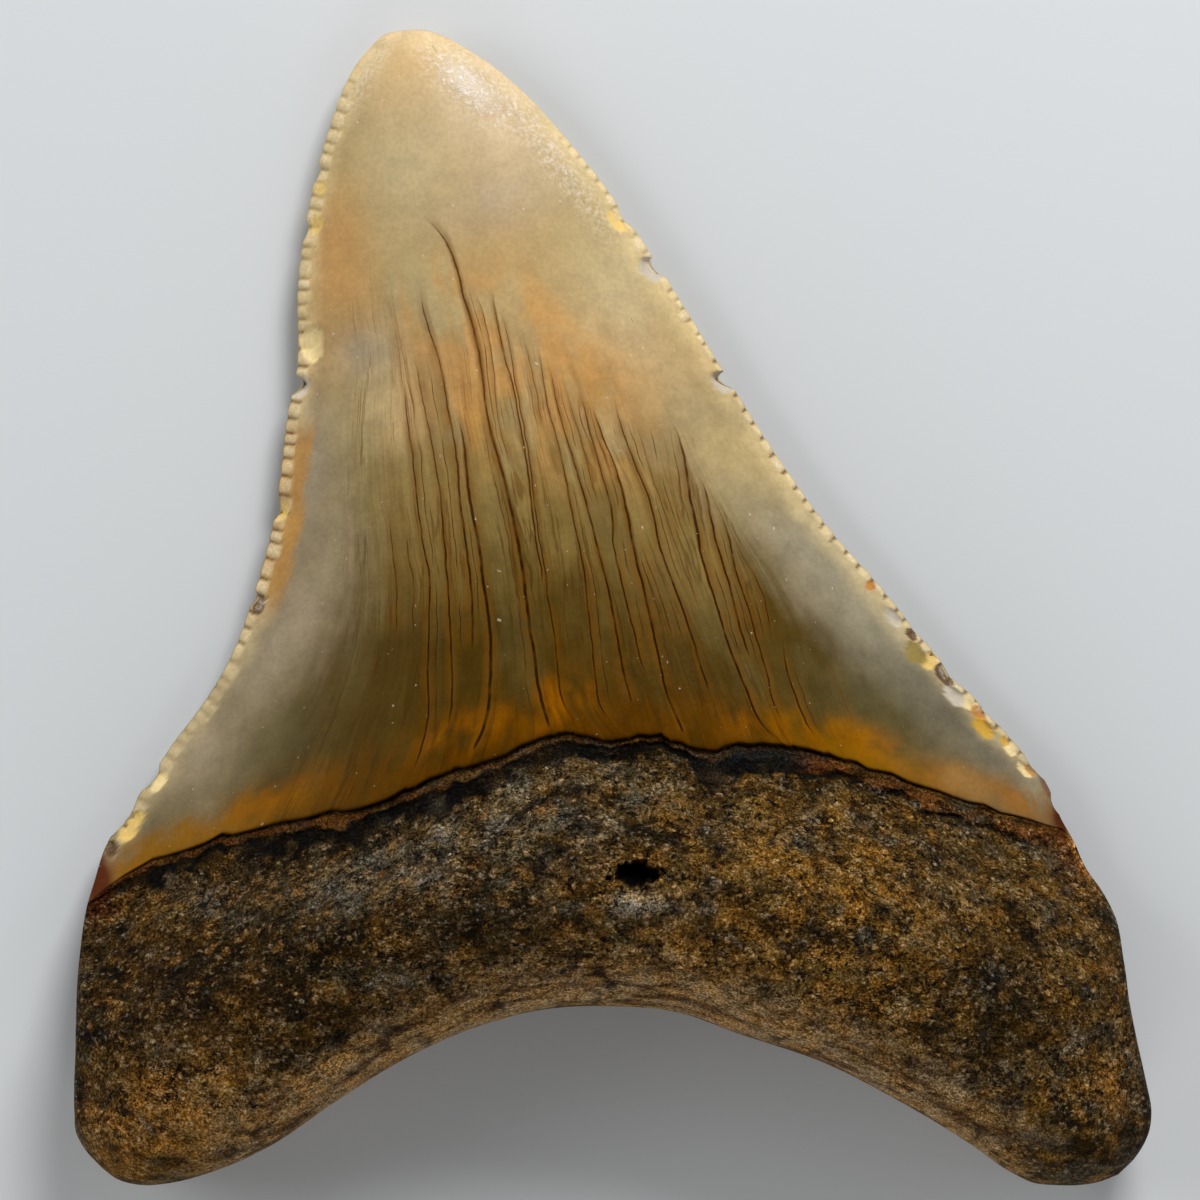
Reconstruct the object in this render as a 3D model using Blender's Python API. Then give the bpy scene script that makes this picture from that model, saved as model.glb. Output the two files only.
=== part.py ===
# Fossil megalodon tooth, lying on its flatter outer face with the bulging inner face up.
# The tip points along +Y, +X is the viewer's right, and the floor is z = 0.
# Lengths below are millimetres and become metres when a point is placed.
import math

import bmesh
import bpy
import numpy as np
from mathutils import Vector, noise

MM = 0.001

# Driving sizes
ROOT_THICKNESS = 19.3
CROWN_BASE_RISE = 11.4
BLADE_HEIGHT = 2.2
BLADE_SPAN = (-23.0, 42.5)
ARCH_RIM_HEIGHT = 8.0
LOBE_RIM_DROP = 2.0
SERRATION_PITCH = 1.06
SERRATION_DEPTH = 0.34
ENAMEL_LEDGE = 0.45
LUMP_HEIGHT = 0.5

# How finely the grid is cut
COLUMNS = 40
ROOT_ROWS = 17
CROWN_ROWS = 33
BLADE_CUTS = 3
EVEN_SHARE = 0.2
ARCH_CROWDING = 1.7
TIP_CROWDING = 1.25
FIRST_ROW = 0.006
EDGE_STEPS = 240
BLADE_STEPS = 800
FIRST_FOOT = -12.0
FOOT_ROUNDS = 60

# The left and right edges from root lobe to tip, as (x, y)
LEFT_EDGE = [
    (-38.6, -42.5), (-39.8, -41.2), (-40.5, -40.0), (-40.7, -38.2), (-40.6, -33.7),
    (-40.5, -29.9), (-40.3, -26.0), (-39.9, -23.0), (-39.4, -21.1), (-38.4, -18.0),
    (-37.3, -16.2), (-35.2, -13.2), (-33.6, -10.7), (-30.9, -7.1), (-28.8, -3.4),
    (-27.5, 0.2), (-26.0, 5.4), (-25.2, 10.2), (-24.7, 14.6), (-24.0, 18.0),
    (-23.9, 24.5), (-23.3, 29.3), (-22.5, 33.0), (-21.6, 36.2), (-20.0, 40.3),
    (-19.2, 41.6), (-18.4, 42.5),
]
RIGHT_EDGE = [
    (38.3, -43.0), (39.5, -41.8), (40.5, -40.1), (40.8, -38.4), (40.4, -35.9),
    (39.7, -32.8), (39.1, -29.9), (38.7, -26.6), (38.2, -23.5), (37.3, -21.7),
    (36.0, -19.8), (35.2, -18.0), (34.2, -16.2), (32.9, -13.2), (30.4, -10.1),
    (25.0, -4.1), (20.0, 2.0), (17.3, 5.0), (12.8, 11.1), (8.2, 18.4),
    (3.7, 25.7), (-1.4, 33.1), (-4.0, 36.2), (-7.7, 40.0), (-9.6, 41.5), (-11.2, 42.5),
]
TIP_ARC = [
    (-18.4, 42.5), (-17.5, 43.4), (-16.1, 43.8), (-14.0, 43.8), (-12.8, 43.4), (-11.2, 42.5),
]
# The root's lower edge from the left lobe round the arch to the right lobe
BASAL_EDGE = [
    (-38.6, -42.5), (-37.5, -43.3), (-35.4, -43.8), (-33.9, -43.7), (-29.8, -42.6),
    (-26.1, -40.9), (-20.6, -37.2), (-15.2, -33.9), (-10.1, -31.7), (-5.0, -30.4),
    (0.7, -30.2), (4.8, -30.6), (9.7, -32.3), (16.1, -34.5), (21.6, -37.3),
    (27.2, -40.7), (30.2, -42.8), (31.9, -43.6), (33.6, -43.8), (37.0, -43.5), (38.3, -43.0),
]
# Where the enamel ends, on the inner face that lies up and on the outer face below
NECK_FRONT = [
    (-40.0, -22.6), (-38.1, -21.1), (-29.1, -17.4), (-22.9, -15.9), (-17.7, -14.8),
    (-12.7, -12.5), (-9.4, -11.7), (-4.0, -9.5), (0.5, -10.1), (2.6, -9.6),
    (6.7, -10.8), (10.5, -10.3), (17.5, -11.5), (23.1, -13.5), (27.0, -14.8), (34.4, -17.0),
]
NECK_BACK = [
    (-40.0, -22.6), (-36.0, -20.6), (-30.0, -18.6), (-20.0, -16.4), (-10.0, -16.0),
    (-1.0, -17.4), (8.0, -15.8), (18.0, -14.6), (27.0, -15.0), (34.4, -17.0),
]
# Broken places along the blades, as (side, y, half length, depth)
CHIPS = [
    (-1, 33.0, 0.7, 0.25), (-1, 28.6, 0.9, 0.25), (-1, 16.9, 0.8, 0.75), (-1, 7.5, 0.7, 0.6),
    (-1, 0.6, 0.6, 0.5), (-1, -13.0, 1.0, 0.35), (-1, -16.0, 1.5, 0.4),
    (1, 29.6, 0.9, 0.35), (1, 25.8, 0.8, 0.5), (1, 17.2, 0.7, 0.7), (1, -1.8, 1.0, 0.4),
    (1, -5.8, 1.4, 0.7), (1, -8.0, 1.6, 0.5), (1, -12.0, 1.4, 0.4),
]

# Centre line heights of the crown's two faces, as (y, height)
CROWN_RISE = [
    (-24.0, 12.4), (-10.0, CROWN_BASE_RISE), (0.0, 9.4), (10.0, 7.6), (20.0, 6.1),
    (30.0, 4.9), (38.0, 4.0), (44.0, 3.6),
]
UNDERSIDE = [
    (-44.0, 1.0), (-30.0, 1.2), (-15.0, 1.5), (5.0, 0.9), (20.0, 0.25), (30.0, -0.25),
    (36.0, -0.1), (44.0, 1.0),
]
CROWN_RIDGE = 0.46
TIP_ROUNDING = 5.0
LOBE_FLOOR = -0.3
CREST_FALL = 0.0055
ROUNDING_ABOVE = 10.0
LOBE_ROUNDING_ABOVE = 7.0
ROUNDING_BELOW = 6.5

# Where one shape passes into another, as (start, length). OUT is measured from the middle
# to either side, DOWN and UP along y, and the neck's two are shares of the way up the root.
ROOT_RIM_DOWN = (19.0, 9.0)
LOBE_RIM_OUT = (22.0, 12.0)
LOBE_RIM_DOWN = (28.0, 8.0)
LOBE_FLOOR_OUT = (12.0, 14.0)
LOBE_FLOOR_DOWN = (23.0, 8.0)
LOBE_ROUNDING_OUT = (12.0, 18.0)
NECK_ABOVE = (0.45, 0.55)
NECK_BELOW = (0.3, 0.7)
DOME_UP = (-12.0, 40.0)
WORN_TIP_DOWN = (-39.0, 6.0)
WORN_NECK_UP = (-20.0, 4.0)

# How full the crown's section is: powers of the dome at the neck and at the tip, and of the belly
DOME_POWERS = (1.25, 0.95)
BELLY_POWERS = (2.2, 0.8)
LEDGE_POWER = 4

# Two sizes of lumps on the bone, as (waves a millimetre across, the same along, share of the
# height, places in the noise for the face above and the face below)
LUMP_WAVES = [(0.16, 0.2, 1.1, (4.0, 9.0)), (0.42, 0.5, 0.7, (1.0, 6.0))]
LUMP_FADE_AT_ARCH = 0.1
LUMP_FADE_AT_NECK = 0.25

# The nutrient hole: its centre on the root's crest and its half sizes
FORAMEN_CENTRE = (1.65, -19.9)
FORAMEN_HALF_SIZE = (1.7, 0.85, 2.0)
FORAMEN_CUTS = (16, 8)

# The flat sheets that the tooth is shaped from: half the gap between them, and their weld
SHEET_LIFT = 0.3
SHEET_WELD = 0.01
FLOOR_TOLERANCE = 1e-7

# Colours and roughness
ENAMEL = ((0.42, 0.33, 0.18), 0.35)
BONE = ((0.09, 0.055, 0.03), 0.75)


def smooth_step(value):
    """A value from 0 to 1, eased at both ends."""
    part = np.clip(value, 0.0, 1.0)
    return part * part * (3.0 - 2.0 * part)


def beyond(value, start, length):
    """How far a value is past the start, from 0 to 1, eased over the length."""
    return smooth_step((value - start) / length)


def smooth_curve(knots, values, wanted):
    """A smooth curve through the knots, read at the wanted places."""
    knots = np.asarray(knots, dtype=float)
    values = np.asarray(values, dtype=float)
    slopes = np.gradient(values, knots)
    place = np.clip(np.searchsorted(knots, wanted) - 1, 0, len(knots) - 2)
    span = knots[place + 1] - knots[place]
    part = np.clip((wanted - knots[place]) / span, 0.0, 1.0)
    low, high = values[place], values[place + 1]
    out, back = slopes[place] * span, slopes[place + 1] * span
    cubic = (2 * low - 2 * high + out + back) * part + (3 * high - 3 * low - 2 * out - back)
    return (cubic * part + out) * part + low


def across(points, y):
    """The x of an edge that is given from bottom to top, at height y."""
    table = np.array(points)
    return smooth_curve(table[:, 1], table[:, 0], y)


def along(points, x):
    """The y or the height of a curve that is given from left to right, at x."""
    table = np.array(points)
    return smooth_curve(table[:, 0], table[:, 1], x)


def run_of(points, part):
    """The points at a share of the way along a smooth line through the given points."""
    table = np.array(points)
    steps = np.hypot(*np.diff(table, axis=0).T)
    length = np.concatenate([[0.0], np.cumsum(steps)])
    wanted = part * length[-1]
    return smooth_curve(length, table[:, 0], wanted), smooth_curve(length, table[:, 1], wanted)


def column_foot(u, neck):
    """The height at which the column at u meets the enamel's lower edge."""
    y = np.full_like(u, FIRST_FOOT)
    for _ in range(FOOT_ROUNDS):
        left, right = across(LEFT_EDGE, y), across(RIGHT_EDGE, y)
        y = 0.5 * y + 0.5 * along(neck, left + u * (right - left))
    return y


def column_head(u):
    """The height of the tip's arc above the column at u."""
    left, right = TIP_ARC[0][0], TIP_ARC[-1][0]
    return along(TIP_ARC, left + u * (right - left))


def rim_height(x, y):
    """Height of the tooth's rim above the floor: low at the blades, high on the root."""
    root = (ARCH_RIM_HEIGHT - BLADE_HEIGHT) * beyond(-y, *ROOT_RIM_DOWN)
    lobe = LOBE_RIM_DROP * beyond(np.abs(x), *LOBE_RIM_OUT) * beyond(-y, *LOBE_RIM_DOWN)
    return BLADE_HEIGHT + root - lobe


def underside_height(x, y):
    """Height of the lower face away from the rim, a little under the floor where it rests."""
    lobe = beyond(np.abs(x), *LOBE_FLOOR_OUT) * beyond(-y, *LOBE_FLOOR_DOWN)
    return along(UNDERSIDE, y) * (1.0 - lobe) + LOBE_FLOOR * lobe


def quarter_round(part):
    """A quarter circle's rise, from 0 at the rim to 1."""
    return np.sqrt(1.0 - (1.0 - np.clip(part, 0.0, 1.0)) ** 2)


def lens(u):
    """How far a column is from the ridge, from 0 on it to 1 on the blades."""
    left, right = (CROWN_RIDGE - u) / CROWN_RIDGE, (u - CROWN_RIDGE) / (1.0 - CROWN_RIDGE)
    return np.where(u < CROWN_RIDGE, left, right)


def crown_height(u, x, y, head, above):
    """Height of the crown's surface, domed above and nearly flat below."""
    rim = rim_height(x, y)
    tip = quarter_round((head - y) / TIP_ROUNDING)
    if above:
        low, high = DOME_POWERS
        fullness = low + (high - low) * beyond(y, *DOME_UP)
        return rim + along(CROWN_RISE, y) * (1.0 - lens(u) ** 2) ** fullness * tip
    flatness, fullness = BELLY_POWERS
    return rim - (rim - underside_height(x, y)) * (1.0 - lens(u) ** flatness) ** fullness * tip


def root_rim_distance(x, y):
    """Distance from the root's free edge: its two sides and the arch."""
    lines = [np.stack(run_of(BASAL_EDGE, np.linspace(0.0, 1.0, EDGE_STEPS)), axis=1)]
    for edge, neck_end in ((LEFT_EDGE, NECK_FRONT[0]), (RIGHT_EDGE, NECK_FRONT[-1])):
        heights = np.linspace(edge[0][1], neck_end[1], EDGE_STEPS // 3)
        lines.append(np.stack([across(edge, heights), heights], axis=1))
    nearest = np.full(np.shape(x), np.inf)
    for line in lines:
        for start, end in zip(line[:-1], line[1:]):
            run = end - start
            share = ((x - start[0]) * run[0] + (y - start[1]) * run[1]) / max(run @ run, 1e-12)
            share = np.clip(share, 0.0, 1.0)
            gap = np.hypot(x - start[0] - share * run[0], y - start[1] - share * run[1])
            nearest = np.minimum(nearest, gap)
    return nearest


def root_height(x, y, w, neck_height, above):
    """Height of the root's surface, which swells from the neck to a thick rounded bar."""
    rim = rim_height(x, y)
    distance = root_rim_distance(x, y)
    if above:
        crest = ROOT_THICKNESS - CREST_FALL * x * x
        lobe = beyond(np.abs(x), *LOBE_ROUNDING_OUT)
        reach = ROUNDING_ABOVE + (LOBE_ROUNDING_ABOVE - ROUNDING_ABOVE) * lobe
        body = rim + (crest - rim) * quarter_round(distance / reach)
        return body + (neck_height - body) * beyond(w, *NECK_ABOVE)
    body = rim - (rim - underside_height(x, y)) * quarter_round(distance / ROUNDING_BELOW)
    return body + (neck_height - body) * beyond(w, *NECK_BELOW)


def lump(x, y, above):
    """Low lumps and hollows of the bone, the same on every run."""
    height = 0.0
    for over, up, share, (level_above, level_below) in LUMP_WAVES:
        level = level_above if above else level_below
        height += share * noise.noise(Vector((x * over, y * up, level)))
    return height


def chip_depth(side, y):
    """How far a break cuts into the blade at height y."""
    depth = np.zeros(np.shape(y))
    for chip_side, middle, half, deep in CHIPS:
        if chip_side == side:
            depth = np.maximum(depth, deep * np.clip(1.0 - ((y - middle) / half) ** 2, 0.0, 1.0))
    return depth


def blade_offset(side, y):
    """How far the saw edge and its breaks lie inside the plain outline."""
    points = LEFT_EDGE if side < 0 else RIGHT_EDGE
    heights = np.linspace(*BLADE_SPAN, BLADE_STEPS)
    run = np.hypot(np.diff(across(points, heights)), np.diff(heights))
    length = np.interp(y, heights, np.concatenate([[0.0], np.cumsum(run)]))
    worn = beyond(-y, *WORN_TIP_DOWN) * beyond(y, *WORN_NECK_UP)
    notch = 0.5 + 0.5 * np.cos(2.0 * math.pi * length / SERRATION_PITCH)
    return SERRATION_DEPTH * notch ** 2 * worn + chip_depth(side, y)


def column_share(i):
    """The columns stand closer together towards both sides."""
    part = i / COLUMNS
    return EVEN_SHARE * part + (1.0 - EVEN_SHARE) * 0.5 * (1.0 - np.cos(math.pi * part))


def crown_share(k):
    """The crown's rows: one close above the neck, then closer together towards the tip."""
    part = np.clip((k - 1.0) / (CROWN_ROWS - 1.0), 0.0, 1.0)
    upper = FIRST_ROW + (1.0 - FIRST_ROW) * (1.0 - (1.0 - part) ** TIP_CROWDING)
    return np.where(k < 1.0, FIRST_ROW * k, upper)


def crown_point(u, share, above):
    """Places on the crown for columns u at a share of the way from neck to tip."""
    foot = column_foot(u, NECK_FRONT if above else NECK_BACK)
    head = column_head(u)
    y = foot + (head - foot) * share
    left, right = across(LEFT_EDGE, y), across(RIGHT_EDGE, y)
    x = left + u * (right - left)
    z = crown_height(u, x, y, head, above)
    if above:
        inset = 1.0 - lens(u) ** LEDGE_POWER
        z = z - ENAMEL_LEDGE * (1.0 - smooth_step(share / FIRST_ROW)) * inset
    return x, y, z


def side_swell(points, u, w):
    """How far a side of the root stands off the straight line from its corner to the neck."""
    start_x, start_y = points[0]
    end_y = column_foot(np.array([u]), NECK_FRONT)[0]
    end_x = across(points, end_y)
    return across(points, start_y + (end_y - start_y) * w) - (start_x + (end_x - start_x) * w)


def root_point(u, w, above):
    """Places on the root, in a patch between the arch and the neck and the two sides."""
    foot_x, foot_y = run_of(BASAL_EDGE, u)
    neck_x, neck_y, neck_z = crown_point(u, np.zeros_like(u), above)
    x = foot_x + (neck_x - foot_x) * w
    y = foot_y + (neck_y - foot_y) * w
    x = x + (1.0 - u) * side_swell(LEFT_EDGE, 0.0, w) + u * side_swell(RIGHT_EDGE, 1.0, w)
    return x, y, root_height(x, y, w, neck_z, above)


def pillow():
    """Two sheets of squares that share their rim: x counts columns and y counts rows."""
    bm = bmesh.new()
    rows = ROOT_ROWS + CROWN_ROWS
    for above in (True, False):
        made = bmesh.ops.create_grid(bm, x_segments=COLUMNS, y_segments=rows, size=1.0)
        for vert in made["verts"]:
            i = round((vert.co.x + 1.0) * 0.5 * COLUMNS)
            k = round((vert.co.y + 1.0) * 0.5 * rows)
            on_rim = i in (0, COLUMNS) or k in (0, rows)
            lift = SHEET_LIFT if above else -SHEET_LIFT
            vert.co = (i, k, 0.0 if on_rim else lift)
        if not above:
            faces = {face for vert in made["verts"] for face in vert.link_faces}
            bmesh.ops.reverse_faces(bm, faces=list(faces))
    bmesh.ops.remove_doubles(bm, verts=bm.verts, dist=SHEET_WELD)
    blades = [edge for edge in bm.edges if is_blade(edge)]
    bmesh.ops.subdivide_edges(bm, edges=blades, cuts=BLADE_CUTS)
    return bm


def is_blade(edge):
    """Whether an edge of the pillow runs along one of the crown's two blades."""
    first, second = (vert.co for vert in edge.verts)
    same_side = first.x == second.x and first.x in (0, COLUMNS)
    return same_side and min(first.y, second.y) >= ROOT_ROWS


def place_all(bm):
    """Moves the pillow's points to their places on the tooth."""
    verts = list(bm.verts)
    i = np.array([vert.co.x for vert in verts])
    k = np.array([vert.co.y for vert in verts])
    level = np.array([vert.co.z for vert in verts])
    u = column_share(i)
    spots = np.zeros((len(verts), 3))
    for above in (True, False):
        face = (level >= 0.0) if above else (level < 0.0)
        crown = face & (k >= ROOT_ROWS)
        root = face & (k < ROOT_ROWS)
        spots[crown] = np.stack(crown_point(u[crown], crown_share(k[crown] - ROOT_ROWS), above), axis=1)
        w = (k[root] / ROOT_ROWS) ** ARCH_CROWDING
        spots[root] = np.stack(root_point(u[root], w, above), axis=1)
        bumpy = root & (level != 0.0)
        inner = w[bumpy[root]]
        fade_at_arch = smooth_step(inner / LUMP_FADE_AT_ARCH)
        fade_at_neck = smooth_step((1.0 - inner) / LUMP_FADE_AT_NECK)
        bumps = np.array([lump(x, y, above) for x, y in spots[bumpy][:, :2]])
        spots[bumpy, 2] += LUMP_HEIGHT * np.minimum(fade_at_arch, fade_at_neck) * bumps
    for side, column in ((-1, 0), (1, COLUMNS)):
        blade = (i == column) & (k > ROOT_ROWS)
        spots[blade, 0] -= side * blade_offset(side, spots[blade, 1])
    for vert, spot in zip(verts, spots):
        vert.co = Vector(spot) * MM


def rest_on_floor(bm):
    """Cuts the lowest places off flat, so that the tooth lies on small even spots."""
    everything = list(bm.verts) + list(bm.edges) + list(bm.faces)
    bmesh.ops.bisect_plane(
        bm, geom=everything, dist=FLOOR_TOLERANCE, plane_co=(0, 0, 0), plane_no=(0, 0, 1),
        clear_inner=True,
    )
    open_edges = [edge for edge in bm.edges if edge.is_boundary]
    bmesh.ops.holes_fill(bm, edges=open_edges, sides=0)
    bmesh.ops.recalc_face_normals(bm, faces=bm.faces)


def material(name, colour, roughness):
    """A plain Principled material."""
    made = bpy.data.materials.new(name)
    made.use_nodes = True
    shader = made.node_tree.nodes["Principled BSDF"]
    shader.inputs["Base Color"].default_value = (*colour, 1.0)
    shader.inputs["Roughness"].default_value = roughness
    shader.inputs["Metallic"].default_value = 0.0
    return made


def make_foramen(collection):
    """The cutter for the nutrient hole in the middle of the root."""
    segments, rings = FORAMEN_CUTS
    bpy.ops.mesh.primitive_uv_sphere_add(segments=segments, ring_count=rings, radius=1.0)
    cutter = bpy.context.object
    cutter.name = "foramen_cutter"
    cutter.scale = [size * MM for size in FORAMEN_HALF_SIZE]
    cutter.location = (FORAMEN_CENTRE[0] * MM, FORAMEN_CENTRE[1] * MM, ROOT_THICKNESS * MM)
    cutter.hide_render = True
    cutter.display_type = "WIRE"
    move_to(cutter, collection)
    return cutter


def move_to(thing, collection):
    """Puts an object in one collection only."""
    for owner in list(thing.users_collection):
        owner.objects.unlink(thing)
    collection.objects.link(thing)


def new_collection(name):
    """A collection under the scene's own."""
    made = bpy.data.collections.new(name)
    bpy.context.scene.collection.children.link(made)
    return made


def make_tooth(collection, cutter):
    """The whole tooth, crown and root grown as one piece."""
    bm = pillow()
    place_all(bm)
    rest_on_floor(bm)
    mesh = bpy.data.meshes.new("tooth")
    bm.to_mesh(mesh)
    bm.free()
    tooth = bpy.data.objects.new("tooth", mesh)
    collection.objects.link(tooth)
    mesh.materials.append(material("crown_enamel", *ENAMEL))
    mesh.materials.append(material("root_bone", *BONE))
    for face in mesh.polygons:
        face.use_smooth = True
        centre = face.center / MM
        face.material_index = int(centre.y < along(NECK_FRONT, np.array([centre.x]))[0])
    hole = tooth.modifiers.new("foramen", "BOOLEAN")
    hole.operation = "DIFFERENCE"
    hole.solver = "EXACT"
    hole.object = cutter
    return tooth


def main():
    for thing in list(bpy.data.objects):
        bpy.data.objects.remove(thing)
    tooth_parts = new_collection("megalodon_tooth")
    cutters = new_collection("cutters")
    make_tooth(tooth_parts, make_foramen(cutters))


main()
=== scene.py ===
# The looks of a fossil megalodon tooth that lies on its flatter outer face.
# All lengths are millimetres and become metres when a mesh is made. The tip points along +Y,
# +X is the viewer's right and the floor is z = 0, as in the CAD model.
import math

import bmesh
import bpy
import numpy as np
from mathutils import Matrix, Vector, noise


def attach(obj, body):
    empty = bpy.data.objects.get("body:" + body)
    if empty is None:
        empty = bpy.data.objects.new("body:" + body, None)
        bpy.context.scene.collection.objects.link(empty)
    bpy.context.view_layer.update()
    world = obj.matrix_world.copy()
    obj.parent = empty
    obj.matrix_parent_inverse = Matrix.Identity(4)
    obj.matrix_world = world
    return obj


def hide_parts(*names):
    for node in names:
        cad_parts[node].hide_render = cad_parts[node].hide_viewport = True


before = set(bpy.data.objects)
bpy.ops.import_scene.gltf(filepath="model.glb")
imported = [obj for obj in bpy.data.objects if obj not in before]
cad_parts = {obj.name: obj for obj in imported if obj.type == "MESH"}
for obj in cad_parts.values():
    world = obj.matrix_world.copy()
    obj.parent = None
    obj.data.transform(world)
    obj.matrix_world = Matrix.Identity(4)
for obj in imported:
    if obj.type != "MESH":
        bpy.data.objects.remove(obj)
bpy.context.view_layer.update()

MM = 0.001

# The photograph's frame: millimetres to a pixel, and the pixel at x = 0, y = 0
PIXEL = 0.0759
PIXEL_ORIGIN = (612.0, 606.5)
PHOTO_CENTRE = (600.0, 600.0)
PHOTO_WIDTH = 1200
# The camera in millimetres, and its focus's height over the floor
LENS_LENGTH = 300.0
SENSOR_WIDTH = 36.0
FOCUS_HEIGHT = 4.0
# The soft lights in metres and watts, as (name, place, size, power)
LIGHTS = [
    ("key", (0.13, 0.36, 0.28), 0.2, 2.3), ("left_fill", (-0.42, 0.10, 0.22), 0.3, 0.95),
    ("right_fill", (0.42, 0.05, 0.22), 0.3, 0.3), ("bounce", (0.0, -0.36, 0.11), 0.3, 0.65),
]
SKY_STRENGTH = 0.1

# Driving sizes, the CAD model's own
ROOT_THICKNESS = 19.3
CROWN_BASE_RISE = 11.4
BLADE_HEIGHT = 2.2
ARCH_RIM_HEIGHT = 8.0
LOBE_RIM_DROP = 2.0
ENAMEL_LEDGE = 0.45
LUMP_HEIGHT = 0.5

# The left and right edges from root lobe to tip, as (x, y)
LEFT_EDGE = [
    (-38.6, -42.5), (-39.8, -41.2), (-40.5, -40.0), (-40.7, -38.2), (-40.6, -33.7),
    (-40.5, -29.9), (-40.3, -26.0), (-39.9, -23.0), (-39.4, -21.1), (-38.4, -18.0),
    (-37.3, -16.2), (-35.2, -13.2), (-33.6, -10.7), (-30.9, -7.1), (-28.8, -3.4),
    (-27.5, 0.2), (-26.0, 5.4), (-25.2, 10.2), (-24.7, 14.6), (-24.0, 18.0),
    (-23.9, 24.5), (-23.3, 29.3), (-22.5, 33.0), (-21.6, 36.2), (-20.0, 40.3),
    (-19.2, 41.6), (-18.4, 42.5),
]
RIGHT_EDGE = [
    (38.3, -43.0), (39.5, -41.8), (40.5, -40.1), (40.8, -38.4), (40.4, -35.9),
    (39.7, -32.8), (39.1, -29.9), (38.7, -26.6), (38.2, -23.5), (37.3, -21.7),
    (36.0, -19.8), (35.2, -18.0), (34.2, -16.2), (32.9, -13.2), (30.4, -10.1),
    (25.0, -4.1), (20.0, 2.0), (17.3, 5.0), (12.8, 11.1), (8.2, 18.4),
    (3.7, 25.7), (-1.4, 33.1), (-4.0, 36.2), (-7.7, 40.0), (-9.6, 41.5), (-11.2, 42.5),
]
TIP_ARC = [
    (-18.4, 42.5), (-17.5, 43.4), (-16.1, 43.8), (-14.0, 43.8), (-12.8, 43.4), (-11.2, 42.5),
]
EDGES = {-1: LEFT_EDGE, 1: RIGHT_EDGE}
# The root's lower edge from the left lobe round the arch to the right lobe
BASAL_EDGE = [
    (-38.6, -42.5), (-37.5, -43.3), (-35.4, -43.8), (-33.9, -43.7), (-29.8, -42.6),
    (-26.1, -40.9), (-20.6, -37.2), (-15.2, -33.9), (-10.1, -31.7), (-5.0, -30.4),
    (0.7, -30.2), (4.8, -30.6), (9.7, -32.3), (16.1, -34.5), (21.6, -37.3),
    (27.2, -40.7), (30.2, -42.8), (31.9, -43.6), (33.6, -43.8), (37.0, -43.5), (38.3, -43.0),
]
# Where the enamel ends, on the inner face that lies up and on the outer face below
NECK_FRONT = [
    (-40.0, -22.6), (-38.1, -21.1), (-29.1, -17.4), (-22.9, -15.9), (-17.7, -14.8),
    (-12.7, -12.5), (-9.4, -11.7), (-4.0, -9.5), (0.5, -10.1), (2.6, -9.6),
    (6.7, -10.8), (10.5, -10.3), (17.5, -11.5), (23.1, -13.5), (27.0, -14.8), (34.4, -17.0),
]
NECK_BACK = [
    (-40.0, -22.6), (-36.0, -20.6), (-30.0, -18.6), (-20.0, -16.4), (-10.0, -16.0),
    (-1.0, -17.4), (8.0, -15.8), (18.0, -14.6), (27.0, -15.0), (34.4, -17.0),
]
# Broken places along the blades' outline, as (side, y, half length, depth)
CHIPS = [
    (-1, 33.0, 0.7, 0.25), (-1, 28.6, 0.9, 0.25), (-1, 16.9, 0.8, 0.6), (-1, 7.5, 1.0, 0.35),
    (-1, 0.6, 0.6, 0.3), (-1, -13.0, 1.0, 0.35), (-1, -16.0, 1.5, 0.4),
    (1, 29.6, 0.9, 0.35), (1, 25.8, 0.8, 0.5), (1, 17.2, 0.7, 0.7), (1, -1.8, 0.8, 0.15),
    (1, -5.4, 1.1, 0.35), (1, -8.2, 0.8, 0.2), (1, -12.2, 1.0, 0.25), (1, -15.0, 0.8, 0.2),
]

# Centre line heights of the crown's two faces, as (y, height)
CROWN_RISE = [
    (-24.0, 12.4), (-10.0, CROWN_BASE_RISE), (0.0, 9.4), (10.0, 7.6), (20.0, 6.1),
    (30.0, 4.9), (38.0, 4.0), (44.0, 3.6),
]
UNDERSIDE = [
    (-44.0, 1.0), (-30.0, 1.2), (-15.0, 1.5), (5.0, 0.9), (20.0, 0.25), (30.0, -0.25),
    (36.0, -0.1), (44.0, 1.0),
]
CROWN_RIDGE = 0.46
TIP_ROUNDING = 5.0
LOBE_FLOOR = -0.3
CREST_FALL = 0.0055
ROUNDING_ABOVE = 10.0
LOBE_ROUNDING_ABOVE = 7.0
ROUNDING_BELOW = 6.5
# How the crown's dome and belly fall off from the ridge to the blades
DOME_POWER = 1.25
DOME_POWER_FALL = 0.3
DOME_UP = (-12.0, 40.0)
BELLY_POWERS = (2.2, 0.8)
LEDGE_POWER = 4
# Where forms begin and the length over which they grow: down or out in mm, or as a share
ROOT_RIM_DOWN = (19.0, 9.0)
LOBE_RIM_OUT = (22.0, 12.0)
LOBE_RIM_DOWN = (28.0, 8.0)
LOBE_FLOOR_OUT = (12.0, 14.0)
LOBE_FLOOR_DOWN = (23.0, 8.0)
LOBE_ROUNDING_OUT = (12.0, 18.0)
NECK_ABOVE = (0.45, 0.55)
NECK_BELOW = (0.3, 0.7)

# The nutrient hole: centre, half sizes and depth
FORAMEN_CENTRE = (1.65, -19.9)
FORAMEN_HALF_SIZE = (1.9, 0.9)
FORAMEN_DEPTH = 1.9
GREY_LEDGE = (2.1, -22.2)

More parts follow.
